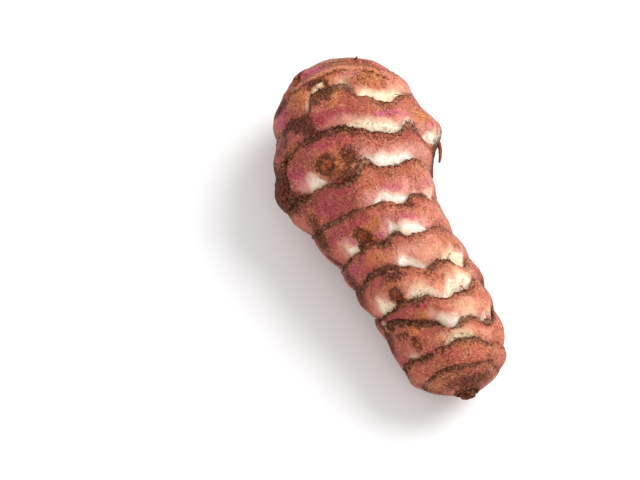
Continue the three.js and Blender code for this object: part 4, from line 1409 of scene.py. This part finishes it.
class ARTICHOKE_OT_stage(bpy.types.Operator):
    """Makes the floor, the lights and the camera"""

    bl_idname = "artichoke.stage"
    bl_label = "Stage"

    def execute(self, context):
        stage = context.scene.artichoke_stage
        make_floor()
        make_lights(stage)
        make_camera(stage)
        return {"FINISHED"}


def make_floor():
    """A pale square floor under the tuber."""
    mesh = bpy.data.meshes.new("floor")
    corners = [(x * FLOOR_HALF, y * FLOOR_HALF, 0) for x, y in ((-1, -1), (1, -1), (1, 1), (-1, 1))]
    mesh.from_pydata(corners, [], [(0, 1, 2, 3)])
    material, _ = new_material("pale floor")
    mesh.materials.append(finish_material(material, FLOOR_TONE, FLOOR_ROUGHNESS))
    floor = new_object("floor", mesh)
    floor.location.z = -FLOOR_DROP


def make_area_light(name, place, size, power):
    """A round light that faces AIM."""
    light = bpy.data.lights.new(name, "AREA")
    light.shape = "DISK"
    light.size = size
    light.energy = power
    lamp = new_object(name, light)
    lamp.location = place
    lamp.rotation_euler = (AIM - Vector(place)).to_track_quat("-Z", "Y").to_euler()


def make_lights(stage):
    """A broad key light from the upper right, a fill from the left, and an even pale sky."""
    make_area_light("key", KEY_PLACE, KEY_SIZE, stage.key_power)
    make_area_light("fill", FILL_PLACE, FILL_SIZE, stage.fill_power)
    world = bpy.data.worlds.new("pale sky")
    world.use_nodes = True
    sky = world.node_tree.nodes["Background"]
    sky.inputs["Color"].default_value = (1.0, 1.0, 1.0, 1)
    sky.inputs["Strength"].default_value = stage.sky
    bpy.context.scene.world = world


def make_camera(stage):
    """Looks down over the stolon end towards the tip. AIM, moved with the tuber's axis, is at AIM_PIXEL."""
    turn, rise = math.radians(stage.azimuth), math.radians(stage.elevation)
    back = Vector((math.sin(turn) * math.cos(rise), -math.cos(turn) * math.cos(rise), math.sin(rise)))
    right = (-back).cross(Vector((0, 0, 1))).normalized()
    up = right.cross(-back)
    metres_per_pixel = stage.distance * SENSOR / (stage.lens * MM) / PICTURE[0]
    across = (AIM_PIXEL[0] - PICTURE[0] / 2) * metres_per_pixel
    above = (PICTURE[1] / 2 - AIM_PIXEL[1]) * metres_per_pixel
    data = bpy.data.cameras.new("camera")
    data.lens = stage.lens
    data.sensor_width = SENSOR / MM
    data.clip_start = CLIP_START
    camera = new_object("camera", data)
    turned = Matrix((right, up, back)).transposed().to_4x4()
    place = AIM + Vector(SHIFT) * MM + back * stage.distance - right * across - up * above
    camera.matrix_world = Matrix.Translation(place) @ turned
    bpy.context.scene.camera = camera


class ARTICHOKE_PT_panel(bpy.types.Panel):
    """Lists the pieces, the tones and the stage"""

    bl_idname = "ARTICHOKE_PT_panel"
    bl_label = "Jerusalem artichoke"
    bl_space_type = "VIEW_3D"
    bl_region_type = "UI"
    bl_category = "Artichoke"

    def draw(self, context):
        for operator in STEPS:
            self.layout.operator(operator)
        scene = context.scene
        for group in (scene.artichoke_sizes, scene.artichoke_colours, scene.artichoke_stage):
            for name in group.__annotations__:
                self.layout.prop(group, name)


STEPS = ("artichoke.skin", "artichoke.remains", "artichoke.buds", "artichoke.roots", "artichoke.stage")
CLASSES = (
    ArtichokeColours, ArtichokeSizes, ArtichokeStage,
    ARTICHOKE_OT_skin, ARTICHOKE_OT_remains, ARTICHOKE_OT_buds, ARTICHOKE_OT_roots, ARTICHOKE_OT_stage,
    ARTICHOKE_PT_panel,
)


def register():
    for item in CLASSES:
        bpy.utils.register_class(item)
    bpy.types.Scene.artichoke_colours = PointerProperty(type=ArtichokeColours)
    bpy.types.Scene.artichoke_sizes = PointerProperty(type=ArtichokeSizes)
    bpy.types.Scene.artichoke_stage = PointerProperty(type=ArtichokeStage)


def unregister():
    del bpy.types.Scene.artichoke_stage
    del bpy.types.Scene.artichoke_sizes
    del bpy.types.Scene.artichoke_colours
    for item in reversed(CLASSES):
        bpy.utils.unregister_class(item)


def main():
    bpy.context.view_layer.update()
    register()
    bpy.context.scene.view_settings.view_transform = "Standard"
    make_torn_edge_group()
    make_flecks_group()
    make_crumbs_group()
    bpy.ops.artichoke.skin()
    bpy.ops.artichoke.remains()
    bpy.ops.artichoke.buds()
    bpy.ops.artichoke.roots()
    bpy.ops.artichoke.stage()


if __name__ == "__main__":
    main()
